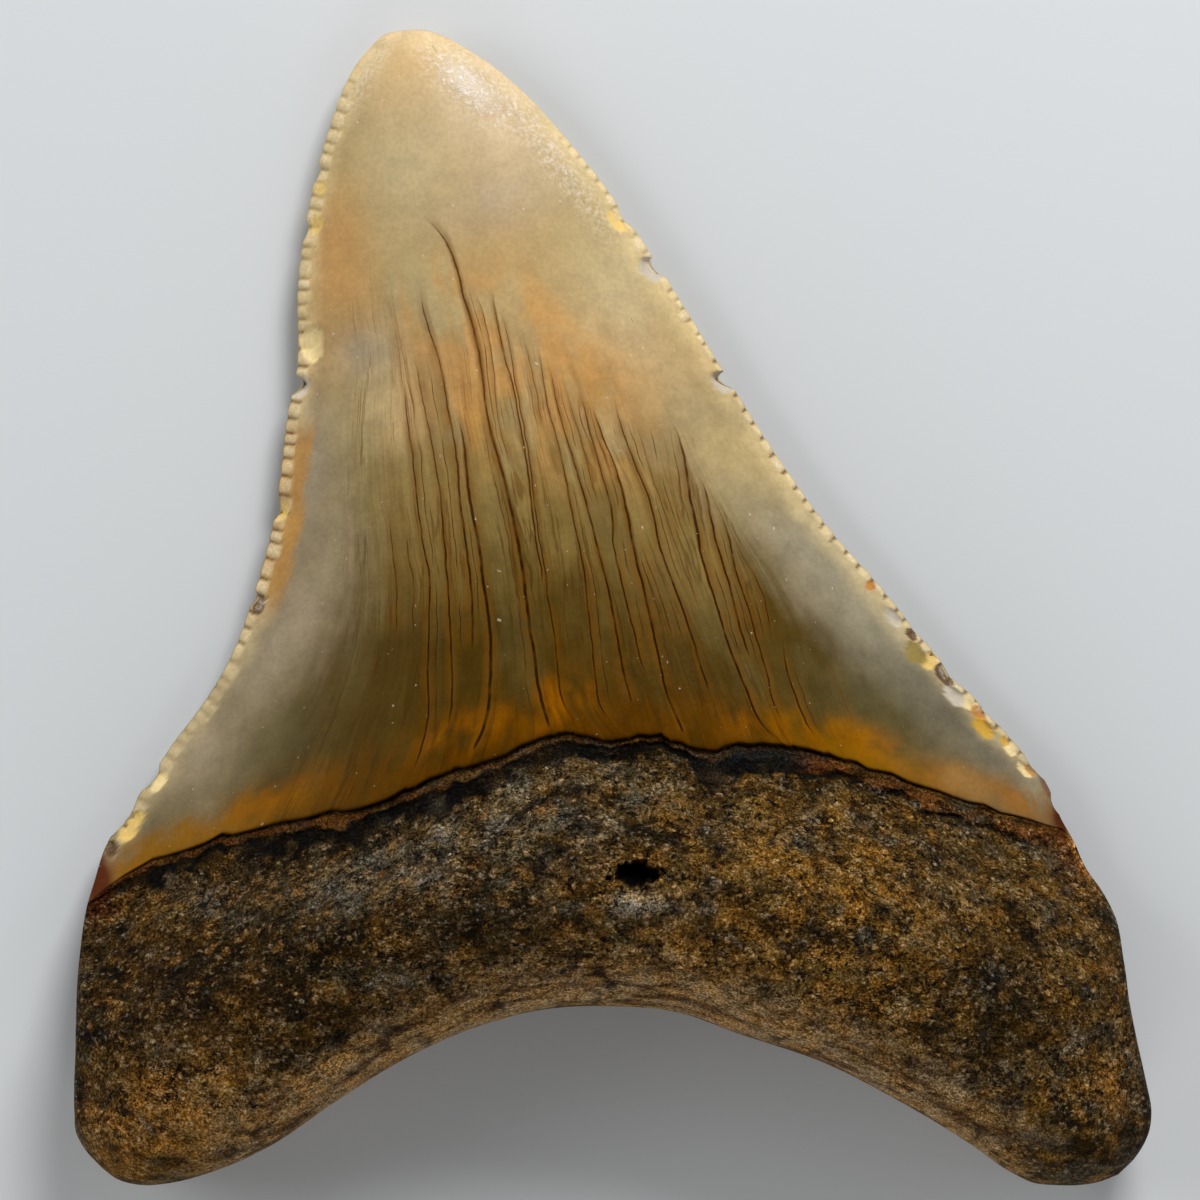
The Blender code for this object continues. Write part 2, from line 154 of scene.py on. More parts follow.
# How finely the crown is cut. The bands along the blades have FINE rows to each plain row.
CROWN_ROWS = 160
FINE = 4
BAND_DEPTHS = [0.0, 0.07, 0.16, 0.27, 0.39, 0.52, 0.66, 0.82, 1.0, 1.2, 1.45, 1.7]
BAND_END = 2.1
FILL_SPACING = 0.62
LEVELS = np.linspace(-24.0, 44.0, 273)
BASE_LEVEL = 76
NARROW_WIDTH = 24.0
BAND_WEIGHT = 50.0
SLOPE_STEP = 0.1
FIRST_FOOT = -12.0
FOOT_ROUNDS = 24
ROW_CROWDING = 1.15
COLUMN_SEED = 12
# The enamel's rounded lower rim, as (height above the neck line, drop below the surface)
LEDGE = [(0.0, 0.7), (0.03, 0.34), (0.09, 0.12), (0.2, 0.03), (0.4, 0.0)]

# The saw edge: its bead sizes along the blade and across it
BEAD_PITCH = (0.8, 1.6)
BEAD_REACH = {-1: (0.8, 1.3), 1: (0.5, 0.9)}
BEAD_SIZE = (0.55, 1.0)
BEAD_SEEDS = {-1: 31, 1: 47}
# The heights between which each blade has beads
BEAD_RUNS = {-1: (-20.5, 42.5), 1: (-13.5, 38.0)}
BEAD_RELIEF = 0.12
NOTCH_DEPTH = 0.12

# Crown cracks in the photograph's pixels, from top to bottom: (darkness, half width in mm, points)
CRACKS = [
    (0.55, 0.09, [(384, 495), (391, 526), (393, 549), (397, 572), (398, 618), (397, 646)]),
    (0.8, 0.1, [(402, 369), (407, 409), (413, 452), (419, 509), (424, 543), (431, 577), (431, 595),
                (429, 669), (429, 723), (424, 746), (411, 777)]),
    (0.8, 0.1, [(411, 345), (420, 381), (430, 429), (439, 478), (444, 526), (449, 587),
                (453, 652), (453, 700), (448, 736)]),
    (0.9, 0.12, [(419, 279), (429, 330), (440, 361), (446, 394), (455, 440), (461, 500), (468, 552),
                 (473, 595), (474, 618), (472, 658)]),
    (1.0, 0.16, [(457, 406), (464, 440), (469, 491), (478, 535), (483, 572), (491, 629), (491, 681),
                 (487, 721), (474, 751)]),
    (1.0, 0.16, [(407, 207), (429, 222), (445, 238), (453, 256), (465, 301), (475, 334), (481, 363),
                 (486, 404), (495, 445), (506, 483), (515, 525), (523, 568), (529, 618), (537, 669),
                 (541, 698), (552, 728)]),
    (0.6, 0.09, [(471, 276), (480, 303), (487, 326), (493, 361), (499, 421), (506, 449), (513, 478)]),
    (0.5, 0.08, [(498, 374), (506, 406), (514, 440)]),
    (0.9, 0.11, [(490, 280), (497, 319), (505, 360), (517, 397), (526, 438), (534, 485), (540, 517),
                 (548, 560), (556, 593)]),
    (0.7, 0.1, [(499, 299), (507, 335), (514, 370), (528, 470), (534, 558), (543, 591), (551, 632),
                (554, 681), (558, 700), (565, 722)]),
    (0.6, 0.09, [(519, 318), (526, 348), (538, 400), (545, 440)]),
    (0.75, 0.1, [(534, 334), (542, 368), (548, 409), (557, 440), (567, 485), (575, 526), (583, 569),
                 (586, 605), (590, 644), (593, 680), (598, 712), (609, 730)]),
    (0.85, 0.12, [(546, 354), (553, 383), (557, 404), (567, 440), (579, 479), (589, 513), (598, 550),
                  (609, 593), (616, 630), (622, 667), (635, 714)]),
    (0.6, 0.09, [(562, 372), (572, 410), (583, 446), (590, 480), (602, 512)]),
    (0.8, 0.11, [(578, 380), (592, 440), (604, 482), (613, 516), (612, 535), (618, 572), (625, 605),
                 (635, 645), (640, 683)]),
    (0.95, 0.13, [(590, 392), (604, 440), (618, 474), (627, 512), (635, 557), (645, 595), (653, 633),
                  (661, 672), (665, 692), (674, 712), (684, 734)]),
    (0.55, 0.09, [(634, 520), (645, 558), (656, 586), (663, 606), (671, 634), (674, 650)]),
    (0.85, 0.12, [(612, 392), (625, 440), (638, 472), (651, 505), (659, 547), (673, 585), (683, 612),
                  (691, 636), (697, 655), (703, 676), (712, 702)]),
    (0.5, 0.09, [(628, 400), (641, 440), (652, 479), (663, 508), (675, 546), (689, 583), (700, 617)]),
    (0.4, 0.08, [(655, 405), (665, 440), (673, 494), (682, 518), (692, 540)]),
    (1.0, 0.15, [(676, 412), (682, 443), (689, 492), (696, 525), (704, 572), (717, 615), (729, 657),
                 (741, 686), (751, 714), (763, 738)]),
    (0.85, 0.12, [(700, 462), (705, 485), (713, 532), (724, 569), (733, 604), (745, 647), (752, 668)]),
    (0.75, 0.1, [(722, 500), (730, 546), (736, 576), (749, 614), (757, 644), (765, 672), (775, 712),
                 (783, 728)]),
    (0.6, 0.09, [(745, 541), (750, 567), (760, 586), (768, 620), (772, 644)]),
    (0.8, 0.1, [(781, 624), (783, 660), (791, 689), (799, 714), (815, 745)]),
    (0.35, 0.08, [(828, 650), (838, 687), (848, 713), (858, 740)]),
]
MIN_CRACK_GAP = 0.0062
SPREAD_ROUNDS = 120
SETTLE_REACH = 9
SETTLE_WIDTH = 4.0
CRACK_DEPTH = 0.06
JAG_WIDTH = 0.07
CRACK_WIDENING = 1.2
THIN_CRACK = {"half_width": 0.08, "darkness": 0.6, "wander": 0.12}

# Shallow breaks in the enamel beside the blades:
# (side, y, distance from the blade, half length, half width, depth, tone)
SCOOPS = [
    (-1, 31.9, 0.62, 0.5, 0.4, 0.1, "yellow"), (-1, 29.2, 0.8, 0.85, 0.5, 0.18, "yellow"),
    (-1, 20.0, 1.1, 1.45, 1.0, 0.4, "cream"), (-1, 16.8, 0.3, 0.9, 0.9, 0.4, "white"),
    (-1, 7.4, 0.3, 0.8, 0.7, 0.2, "yellow"), (-1, 0.2, 0.3, 0.7, 0.8, 0.25, "brown"),
    (-1, -13.0, 0.6, 0.95, 0.5, 0.2, "cream"), (-1, -16.3, 0.8, 1.5, 0.8, 0.3, "yellow"),
    (-1, -18.2, 0.5, 0.7, 0.5, 0.2, "brown"),
    (1, 29.7, 0.7, 0.9, 0.6, 0.25, "yellow"), (1, 25.9, 0.5, 1.0, 0.8, 0.4, "white"),
    (1, 17.3, 0.4, 0.8, 0.8, 0.4, "white"), (1, 1.9, 0.5, 0.4, 0.35, 0.15, "orange"),
    (1, -0.4, 0.75, 0.9, 0.45, 0.2, "white"), (1, -1.9, 0.4, 0.5, 0.4, 0.1, "brown"),
    (1, -2.8, 1.1, 1.0, 0.6, 0.15, "olive"), (1, -3.7, 0.55, 0.8, 0.6, 0.25, "yellow"),
    (1, -5.0, 0.4, 1.1, 0.5, 0.25, "brown"), (1, -6.1, 1.0, 1.0, 0.6, 0.3, "white"),
    (1, -6.9, 0.55, 0.7, 0.5, 0.15, "cream"), (1, -7.8, 0.5, 0.8, 0.45, 0.2, "orange"),
    (1, -8.5, 1.1, 1.0, 0.6, 0.3, "gold"), (1, -9.9, 0.5, 0.5, 0.3, 0.1, "gold"),
    (1, -10.5, 0.6, 0.6, 0.4, 0.12, "cream"), (1, -12.0, 0.7, 0.8, 0.45, 0.2, "cream"),
    (1, -12.3, 0.3, 0.5, 0.3, 0.15, "orange"),
]


def srgb(red, green, blue):
    """A screen colour of 0 to 255 as linear light."""
    values = np.array([red, green, blue]) / 255.0
    return np.where(values <= 0.04045, values / 12.92, ((values + 0.055) / 1.055) ** 2.4)


# The crown's pigments
TIP_CREAM = srgb(204, 174, 126)
TAN = srgb(172, 150, 104)
PINK_TAN = srgb(180, 144, 92)
STRAW = srgb(144, 121, 70)
OLIVE = srgb(111, 89, 43)
GREY_OLIVE = srgb(100, 88, 50)
LILAC_GREY = srgb(164, 150, 128)
DARK_OLIVE = srgb(74, 55, 14)
AMBER = srgb(90, 54, 0)
SIDE_AMBER = srgb(128, 84, 0)
FLAME = srgb(150, 88, 0)
LEFT_GREY = srgb(142, 127, 99)
RIGHT_GREY = srgb(140, 131, 108)
# The next two colours are painted shade for the crown's wings
SHADE_GREY = srgb(84, 76, 46)
WING_SHADE = srgb(100, 93, 76)
PINK = srgb(188, 142, 84)
GREY_GREEN = srgb(166, 152, 112)
PALE = srgb(198, 182, 144)
SAND = srgb(156, 120, 68)
CREAM = srgb(222, 198, 146)
ORANGE = srgb(178, 126, 54)
# A pinkish-white painted sheen for the tip's upper right slope
PAINTED_TIP_SHEEN = srgb(216, 190, 156)
STREAK_OLIVE = srgb(206, 190, 150)
LINE_BROWN = srgb(112, 58, 14)
LINE_DARK = srgb(60, 34, 0)
CRACK_BROWN = srgb(30, 15, 0)
CRACK_UPPER = srgb(82, 46, 20)
HALO_BROWN = srgb(104, 64, 8)
# A pale colour for the enamel's pale specks and for its painted highlight
PALE_SPECK_AND_HIGHLIGHT = srgb(250, 236, 218)
RUST = srgb(92, 46, 24)
RIM_PURPLE = srgb(110, 78, 60)
FLAKE = srgb(196, 140, 72)
SCOOP_TONES = {
    "cream": srgb(232, 208, 150), "yellow": srgb(222, 188, 108), "orange": srgb(186, 124, 56),
    "gold": srgb(196, 152, 52), "olive": srgb(140, 122, 64), "white": srgb(186, 176, 160),
    "brown": srgb(84, 58, 36),
}
# The crown's middle from neck to tip, as (y, pigment), and the middle's two sides, as (x, y)
BODY_PIGMENTS = [
    (-2.5, DARK_OLIVE), (3.5, OLIVE), (11.0, STRAW), (18.0, PINK_TAN),
    (25.0, TAN), (37.0, TAN), (44.0, TIP_CREAM),
]
BODY_LEFT = [
    (-29.0, -14.5), (-24.4, -8.6), (-20.6, -2.5), (-18.7, 3.5), (-18.0, 9.6), (-17.0, 16.0),
    (-15.5, 24.0),
]
BODY_RIGHT = [
    (27.0, -14.0), (21.9, -8.6), (16.5, -3.3), (11.2, 2.0), (6.7, 8.1), (2.1, 14.2), (-4.0, 21.0),
    (-8.0, 24.0),
]

# Patches of one pigment on the crown, as (pigment, strength, centre, half sizes, turn in degrees)
CROWN_PATCHES = [
    # The dark grey patches on the wings, here and near the end of this list, are painted shade
    (SHADE_GREY, 0.8, (-25.0, -10.5), (5.0, 3.0), 50.0),
    (SHADE_GREY, 0.8, (20.0, -8.5), (6.5, 2.6), -35.0),
    (GREY_GREEN, 0.15, (-13.0, 32.0), (4.0, 6.0), 0.0),
    (PALE, 0.45, (-15.0, 34.0), (4.0, 5.0), 0.0),
    (TIP_CREAM, 0.5, (-15.5, 39.0), (3.0, 3.5), 0.0),
    (ORANGE, 0.25, (-14.5, 41.0), (2.0, 1.2), 0.0),
    (OLIVE, 0.4, (-5.5, 8.1), (2.0, 4.0), 0.0),
    (DARK_OLIVE, 0.35, (-3.5, 0.5), (3.5, 3.0), 0.0),
    (OLIVE, 0.5, (31.0, -15.2), (2.0, 0.9), -30.0),
    (GREY_GREEN, 0.8, (-18.0, 15.0), (3.0, 6.0), -10.0),
    (PINK, 0.7, (-20.5, 25.0), (2.5, 4.0), 0.0),
    (PINK, 0.4, (-3.0, 19.0), (3.0, 7.0), 40.0),
    (PINK_TAN, 0.6, (-9.0, 29.0), (4.0, 5.0), 30.0),
    (STRAW, 0.8, (-13.5, 9.0), (4.5, 4.0), 0.0),
    (PALE, 0.45, (1.0, 23.0), (3.0, 6.0), 30.0),
    (LILAC_GREY, 0.7, (-18.7, 19.3), (2.2, 2.0), 0.0),
    (LILAC_GREY, 0.5, (-25.9, -3.4), (5.5, 1.6), 53.0),
    (LILAC_GREY, 0.4, (-30.8, -10.6), (2.6, 1.2), 50.0),
    (LILAC_GREY, 0.6, (-8.5, 31.0), (4.0, 2.5), 20.0),
    (TAN, 0.5, (5.4, 20.0), (1.6, 2.6), 30.0),
    (PINK_TAN, 0.5, (2.4, 16.0), (1.8, 1.8), 0.0),
    (RIGHT_GREY, 0.8, (31.8, -13.9), (1.8, 2.2), -60.0),
    (LEFT_GREY * 0.75, 1.0, (-35.4, -17.6), (3.0, 1.0), 35.0),
    (LILAC_GREY, 0.5, (-23.0, 12.0), (1.2, 5.0), -5.0),
    (TIP_CREAM, 0.7, (-15.8, 15.2), (2.4, 2.6), 0.0),
    (ORANGE, 0.35, (-14.6, 16.4), (0.8, 2.2), 10.0),
    (ORANGE, 0.35, (-9.8, 13.6), (1.4, 2.4), 10.0),
    (ORANGE, 0.3, (-1.2, 16.5), (2.2, 2.6), 20.0),
    (PINK, 0.7, (-21.0, 28.5), (2.4, 4.0), 0.0),
    (SHADE_GREY, 0.6, (-34.0, -16.0), (3.2, 1.8), 35.0),
    (SHADE_GREY, 0.3, (-29.0, -6.5), (3.0, 5.0), -20.0),
    (STRAW, 0.5, (6.0, 3.0), (3.0, 5.0), 30.0),
]
# The brightest amber, as (strength, centre, half sizes, turn in degrees)
FLAME_PATCHES = [
    (1.0, (-4.2, -7.2), (3.0, 1.8), 30.0), (1.0, (-11.0, -9.4), (4.0, 1.3), 20.0),
    (0.8, (12.5, -9.3), (5.0, 1.1), -8.0), (0.7, (-26.0, -14.6), (4.5, 1.2), 25.0),
    (0.7, (22.0, -11.6), (5.0, 1.2), -28.0), (0.9, (31.5, -15.0), (3.0, 0.9), -28.0),
]
# The rusty corners of crown and root, and the painted highlight on the tip's slopes, in the same form
CROWN_CORNERS = [(1.6, (-39.0, -20.9), (1.1, 1.8)), (1.3, (34.3, -16.4), (1.5, 0.8), -65.0)]
ROOT_CORNERS = [(1.0, (35.4, -18.2), (1.6, 2.8), 25.0), (1.0, (-39.4, -22.4), (1.2, 1.6))]
PAINTED_HIGHLIGHT_PATCHES = [
    (1.3, (-11.0, 39.7), (4.2, 1.6), -42.0), (0.7, (-4.0, 33.6), (6.5, 1.1), -54.0),
    (0.6, (-18.6, 40.4), (0.8, 3.4), -28.0),
]
# How many streaks and flames lie side by side on the crown
FAN_WIDTH = 55.0

# The root's pigments
ROOT_DARK = srgb(36, 26, 8)
ROOT_BROWN = srgb(78, 56, 23)
ROOT_GOLD = srgb(128, 93, 38)
ROOT_TAN = srgb(164, 131, 88)
ROOT_GREY = srgb(86, 78, 62)
ROOT_BLACK = srgb(12, 11, 11)
ROOT_BLUE = srgb(22, 27, 30)
ROOT_OCHRE = srgb(138, 98, 48)
# A pale grey-tan: the bone's own pale grains, and also painted highlight and painted glints
ROOT_PALE_AND_HIGHLIGHT = srgb(192, 176, 152)
NUB_OCHRE = srgb(138, 98, 50)
NECK_BROWN = srgb(84, 50, 22)
FLOOR_COLOUR = srgb(206, 209, 211)
# What the bone's grains and dust do to its tint: darker and browner, or lighter and greyer
GRAIN_DARK = (0.13, 0.1, 0.05)
GRAIN_LIGHT = (0.155, 0.115, 0.072)
FLECK_TAN = (0.16, 0.1, 0.045)
DUST_DARK = (0.35, 0.3, 0.16)
DUST_LIGHT = (2.2, 2.3, 2.7)
BONE_WARM = (1.12, 1.0, 0.7)
BONE_COOL = (0.92, 1.0, 1.1)
# Patches of one pigment on the root, as (pigment, strength, centre, half sizes, turn in degrees)
ROOT_PATCHES = [
    (ROOT_OCHRE * 1.15, 1.0, (-34.0, -38.2), (5.5, 3.2), 20.0),
    (ROOT_OCHRE, 0.5, (-36.5, -22.8), (1.6, 1.0), 20.0),
    (ROOT_OCHRE, 0.6, (37.5, -36.5), (1.8, 2.2), 30.0),
    (ROOT_PALE_AND_HIGHLIGHT * 0.45, 0.6, (-30.0, -22.6), (3.2, 0.9), -20.0),
    (ROOT_PALE_AND_HIGHLIGHT * 0.4, 0.6, (-18.0, -20.6), (6.0, 1.4), 12.0),
    (NECK_BROWN * 0.6, 0.7, (-30.0, -29.0), (6.0, 3.0), 0.0),
    (ROOT_OCHRE, 0.8, (-5.1, -15.1), (0.8, 0.6), 0.0),
    (ROOT_OCHRE, 0.8, (-3.9, -20.8), (0.7, 0.9), 0.0),
    (ROOT_OCHRE, 0.5, (2.9, -18.3), (0.9, 0.7), 0.0),
    (ROOT_OCHRE, 0.4, (-11.0, -21.0), (1.2, 0.8), 30.0),
    (ROOT_DARK, 0.8, (-27.0, -27.0), (9.0, 6.0), 10.0),
    (ROOT_DARK, 0.6, (27.0, -29.0), (4.0, 6.0), -30.0),
    (ROOT_DARK, 0.7, (-9.0, -23.0), (6.0, 2.0), 15.0),
    # These three pale patches below the neck: partly the bone's grey, partly painted highlight where
    # the root's upper slope faces the light
    (ROOT_PALE_AND_HIGHLIGHT * 0.4, 0.6, (-6.6, -14.3), (1.5, 0.6), -30.0),
    (ROOT_PALE_AND_HIGHLIGHT * 0.4, 0.6, (-9.6, -16.0), (2.0, 0.6), -25.0),
    (ROOT_PALE_AND_HIGHLIGHT * 0.4, 0.5, (-13.5, -17.2), (1.8, 0.7), 10.0),
    (ROOT_PALE_AND_HIGHLIGHT * 0.7, 1.2, GREY_LEDGE, (2.0, 0.75), 0.0),
]
# The root's golden places, as (strength, centre, half sizes, turn in degrees)
GOLD_PATCHES = [
    (1.0, (15.0, -21.0), (11.0, 7.0), -15.0), (1.6, (-33.0, -38.5), (7.0, 5.0), 20.0),
    (1.2, (3.0, -27.5), (13.0, 3.4), 0.0), (0.8, (35.0, -36.0), (3.0, 4.0), 0.0),
    (0.5, (-33.0, -23.5), (3.5, 2.0), 0.0), (0.8, (33.5, -23.0), (3.0, 3.5), 0.0),
    (1.0, (20.0, -28.5), (5.0, 3.0), -40.0),
]

# How finely the root is cut: columns, rows below the neck bands, and rows in the bands
ROOT_COLUMNS = 330
ROOT_ROWS = 84
NECK_BAND = 2.6
NECK_ROWS = 30
# The surface across the neck bands, as (distance below the enamel, height over the plain bone)
NECK_PROFILE = [
    (-0.5, -0.5), (0.0, -0.3), (0.12, -0.3), (0.3, -0.04), (0.7, 0.0), (1.0, 0.03),
    (1.15, -0.04), (1.4, -0.16), (2.0, -0.16), (2.6, 0.0),
]
UNDER_ENAMEL = 0.45
# How wide the neck bands are along the neck, as (x, share of their full width)
NECK_BAND_WIDTH = [
    (-40.0, 0.3), (-33.0, 0.6), (-22.0, 0.85), (-12.0, 0.9), (-4.0, 0.62), (5.0, 0.5), (10.0, 0.95),
    (16.0, 0.85), (21.0, 0.4), (34.0, 0.3),
]
PORE_COUNT = 900
PORE_SEED = 5
# Where columns and rows stand closer together, as (share, width, strength)
COLUMN_PEAKS = [(0.0, 0.03, 2.0), (1.0, 0.03, 2.0), (0.535, 0.03, 2.2)]
ROW_PEAKS = [(0.0, 0.08, 4.0), (0.06, 0.1, 1.0), (0.56, 0.09, 1.2)]
# The groove at the right of the neck
GROOVE_WIDTH = 0.3
GROOVE_DEPTH = 0.4


def smooth_step(value):
    """A value from 0 to 1, eased at both ends."""
    part = np.clip(value, 0.0, 1.0)
    return part * part * (3.0 - 2.0 * part)


def beyond(value, start, length):
    """0 up to the start and 1 a length past it, eased. A negative length runs downwards."""
    return smooth_step((value - start) / length)


def smooth_curve(knots, values, wanted):
    """A smooth curve through the knots, read at the wanted places."""
    knots = np.asarray(knots, dtype=float)
    values = np.asarray(values, dtype=float)
    slopes = np.gradient(values, knots)
    place = np.clip(np.searchsorted(knots, wanted) - 1, 0, len(knots) - 2)
    span = knots[place + 1] - knots[place]
    part = np.clip((wanted - knots[place]) / span, 0.0, 1.0)
    low, high = values[place], values[place + 1]
    out, back = slopes[place] * span, slopes[place + 1] * span
    cubic = (2 * low - 2 * high + out + back) * part + (3 * high - 3 * low - 2 * out - back)
    return (cubic * part + out) * part + low


def across(points, y):
    """The x of an edge that is given from bottom to top, at height y."""
    table = np.array(points)
    return smooth_curve(table[:, 1], table[:, 0], y)


def along(points, x):
    """The y or the height of a curve that is given from left to right, at x."""
    table = np.array(points)
    return smooth_curve(table[:, 0], table[:, 1], x)


def run_of(points, part):
    """The points at a share of the way along a smooth line through the given points."""
    table = np.array(points)
    steps = np.hypot(*np.diff(table, axis=0).T)
    length = np.concatenate([[0.0], np.cumsum(steps)])
    wanted = part * length[-1]
    return smooth_curve(length, table[:, 0], wanted), smooth_curve(length, table[:, 1], wanted)


def from_photo(column, row):
    """Where a place in the photograph lies on the tooth, in millimetres."""
    return (column - PIXEL_ORIGIN[0]) * PIXEL, (PIXEL_ORIGIN[1] - row) * PIXEL


def waves(x, y, z, size, octaves=1):
    """Smooth random values at each place, with bumps of the given size."""
    flat = np.stack(np.broadcast_arrays(x, y, z), axis=-1).reshape(-1, 3) / size
    values = [noise.fractal(Vector(spot), 0.8, 2.1, octaves) for spot in flat]
    return np.array(values).reshape(np.broadcast(x, y, z).shape)


def neck_line(x, above):
    """The height at which the enamel ends, with a ragged run."""
    ragged = 0.3 * waves(x, 0.0, 5.0, 1.7, 4)
    ends = beyond(x, -39.0, 4.0) * beyond(x, 33.5, -4.0)
    return along(NECK_FRONT if above else NECK_BACK, x) + ragged * ends


def edges_at(y):
    """The x of the left and the right edge at height y."""
    return across(LEFT_EDGE, y), across(RIGHT_EDGE, y)


def read_tracks(tracks, y):
    """Each column's share of the crown's width at its own heights."""
    place = (y - LEVELS[0]) / (LEVELS[1] - LEVELS[0])
    low = np.clip(np.floor(place).astype(int), 0, len(LEVELS) - 2)
    part = place - low
    column = np.arange(len(tracks))[:, None]
    return tracks[column, low] * (1.0 - part) + tracks[column, low + 1] * part


def column_feet(tracks, above):
    """The height at which each column meets the enamel's lower edge."""
    y = np.full((len(tracks), 1), FIRST_FOOT)
    for _ in range(FOOT_ROUNDS):
        left, right = edges_at(y)
        y = 0.5 * y + 0.5 * neck_line(left + read_tracks(tracks, y) * (right - left), above)
    return y


def column_heads(tracks):
    """The height of the tip's arc above each column."""
    left, right = TIP_ARC[0][0], TIP_ARC[-1][0]
    u = read_tracks(tracks, np.full((len(tracks), 1), TIP_ARC[0][1]))
    return along(TIP_ARC, left + u * (right - left))


def rim_height(x, y):
    """Height of the tooth's rim above the floor: low at the blades, high on the root."""
    root = (ARCH_RIM_HEIGHT - BLADE_HEIGHT) * beyond(-y, *ROOT_RIM_DOWN)
    lobe = LOBE_RIM_DROP * beyond(np.abs(x), *LOBE_RIM_OUT) * beyond(-y, *LOBE_RIM_DOWN)
    return BLADE_HEIGHT + root - lobe


def underside_height(x, y):
    """Height of the lower face away from the rim."""
    lobe = beyond(np.abs(x), *LOBE_FLOOR_OUT) * beyond(-y, *LOBE_FLOOR_DOWN)
    return along(UNDERSIDE, y) * (1.0 - lobe) + LOBE_FLOOR * lobe


def quarter_round(part):
    """A quarter circle's rise, from 0 at the rim to 1."""
    return np.sqrt(1.0 - (1.0 - np.clip(part, 0.0, 1.0)) ** 2)


def lens(u):
    """How far a column is from the ridge, from 0 on it to 1 on the blades."""
    ridge = CROWN_RIDGE
    return np.clip(np.where(u < ridge, (ridge - u) / ridge, (u - ridge) / (1 - ridge)), 0.0, 1.0)


def ledge_share(u):
    """How much of the enamel's step a column has: all at the ridge, none on the blades."""
    return 1.0 - lens(u) ** LEDGE_POWER


def facing(above):
    """Which way a face's relief stands out."""
    return 1.0 if above else -1.0


def crown_height(u, x, y, head, above):
    """Height of the crown's surface, domed above and nearly flat below."""
    rim = rim_height(x, y)
    tip = quarter_round((head - y) / TIP_ROUNDING)
    if above:
        fullness = DOME_POWER - DOME_POWER_FALL * beyond(y, *DOME_UP)
        return rim + along(CROWN_RISE, y) * (1.0 - lens(u) ** 2) ** fullness * tip
    belly = (1.0 - lens(u) ** BELLY_POWERS[0]) ** BELLY_POWERS[1]
    return rim - (rim - underside_height(x, y)) * belly * tip


def edge_slope(side, y):
    """How fast an edge's x changes with height, and how much longer the edge is for it."""
    high = np.minimum(y, TIP_ARC[0][1] - 2.0 * SLOPE_STEP)
    upper, lower = across(EDGES[side], high + SLOPE_STEP), across(EDGES[side], high - SLOPE_STEP)
    slope = (upper - lower) / (2.0 * SLOPE_STEP)
    return slope, np.hypot(1.0, slope)


def band_tracks(side, depths):
    """Columns at fixed distances from a blade, drawn together where the tip is narrow."""
    left, right = edges_at(LEVELS)
    width = right - left
    narrow = np.clip(width / NARROW_WIDTH, 0.0, 1.0)
    share = np.array(depths)[:, None] * narrow * edge_slope(side, LEVELS)[1] / width
    return share if side < 0 else 1.0 - share


def crack_tracks():
    """Where each crack runs as a share of the crown's width, and how open it is at each level."""
    shares, open_parts = [], []
    for dark, _, points in CRACKS:
        x, y = from_photo(*np.array(points[::-1], dtype=float).T)
        low, high = edges_at(y)
        shares.append(smooth_curve(y, (x - low) / (high - low), np.clip(LEVELS, y[0], y[-1])))
        fade = 0.6 if dark > 0.9 else 2.0
        open_parts.append(beyond(LEVELS, y[0], fade) * beyond(LEVELS, y[-1], -3.5))
    return np.array(shares), np.array(open_parts)


def spread_apart(shares, open_parts):
    """Pushes neighbouring tracks apart where they come too close, the open ones least."""
    shares = shares.copy()
    weight = 0.1 + open_parts
    for _ in range(SPREAD_ROUNDS):
        for low in range(len(shares) - 1):
            short = np.maximum(MIN_CRACK_GAP - (shares[low + 1] - shares[low]), 0.0)
            part = weight[low + 1] / (weight[low] + weight[low + 1])
            shares[low] -= short * part
            shares[low + 1] += short * (1.0 - part)
    return np.array([settle(track) for track in shares])


def settle(track):
    """Rounds off the sudden bends of a track."""
    reach = np.arange(-SETTLE_REACH, SETTLE_REACH + 1)
    weights = np.exp(-((reach / SETTLE_WIDTH) ** 2))
    padded = np.pad(track, SETTLE_REACH, mode="edge")
    return np.convolve(padded, weights / weights.sum(), mode="valid")


def jag(shares, width):
    """Lets each crack wander a little, as real ones do."""
    number = np.arange(len(shares))[:, None] * 5.0
    wander = JAG_WIDTH * waves(LEVELS[None, :], number, 0.0, 1.1, 3) / width
    wander[[0, -1]] = 0.0
    return shares + wander


def side_step(number, width, shares):
    """Half a crack's width as a share of the crown's, less than half the way to the next."""
    gap = np.minimum(shares[number] - shares[number - 1], shares[number + 1] - shares[number])
    wide = CRACK_WIDENING * CRACKS[number - 1][1] * (1.0 - 0.4 * beyond(LEVELS, 6.0, 10.0))
    return np.minimum(wide / width, gap * 0.42)


def thin_crack(track, room, open_parts, width, seed):
    """Three columns for a thin crack between two others, as (track, openness, stain)."""
    wander = THIN_CRACK["wander"] * waves(LEVELS, seed * 3.0, 9.0, 2.0, 3) / width
    wander = np.clip(wander, -0.25 * room, 0.25 * room)
    half = np.minimum(THIN_CRACK["half_width"] / width, 0.3 * room)
    shown = smooth_step(0.9 + 1.5 * waves(LEVELS * 0.25, seed * 3.0, 4.0, 1.0, 2))
    opened = THIN_CRACK["darkness"] * np.sqrt(open_parts[0] * open_parts[1]) * shown
    opened = opened * smooth_step(room * width / 0.25 - 0.4)
    shut = np.zeros_like(opened)
    return [
        (track + wander - half, shut, opened * 0.5), (track + wander, opened, opened),
        (track + wander + half, shut, opened * 0.5),
    ]


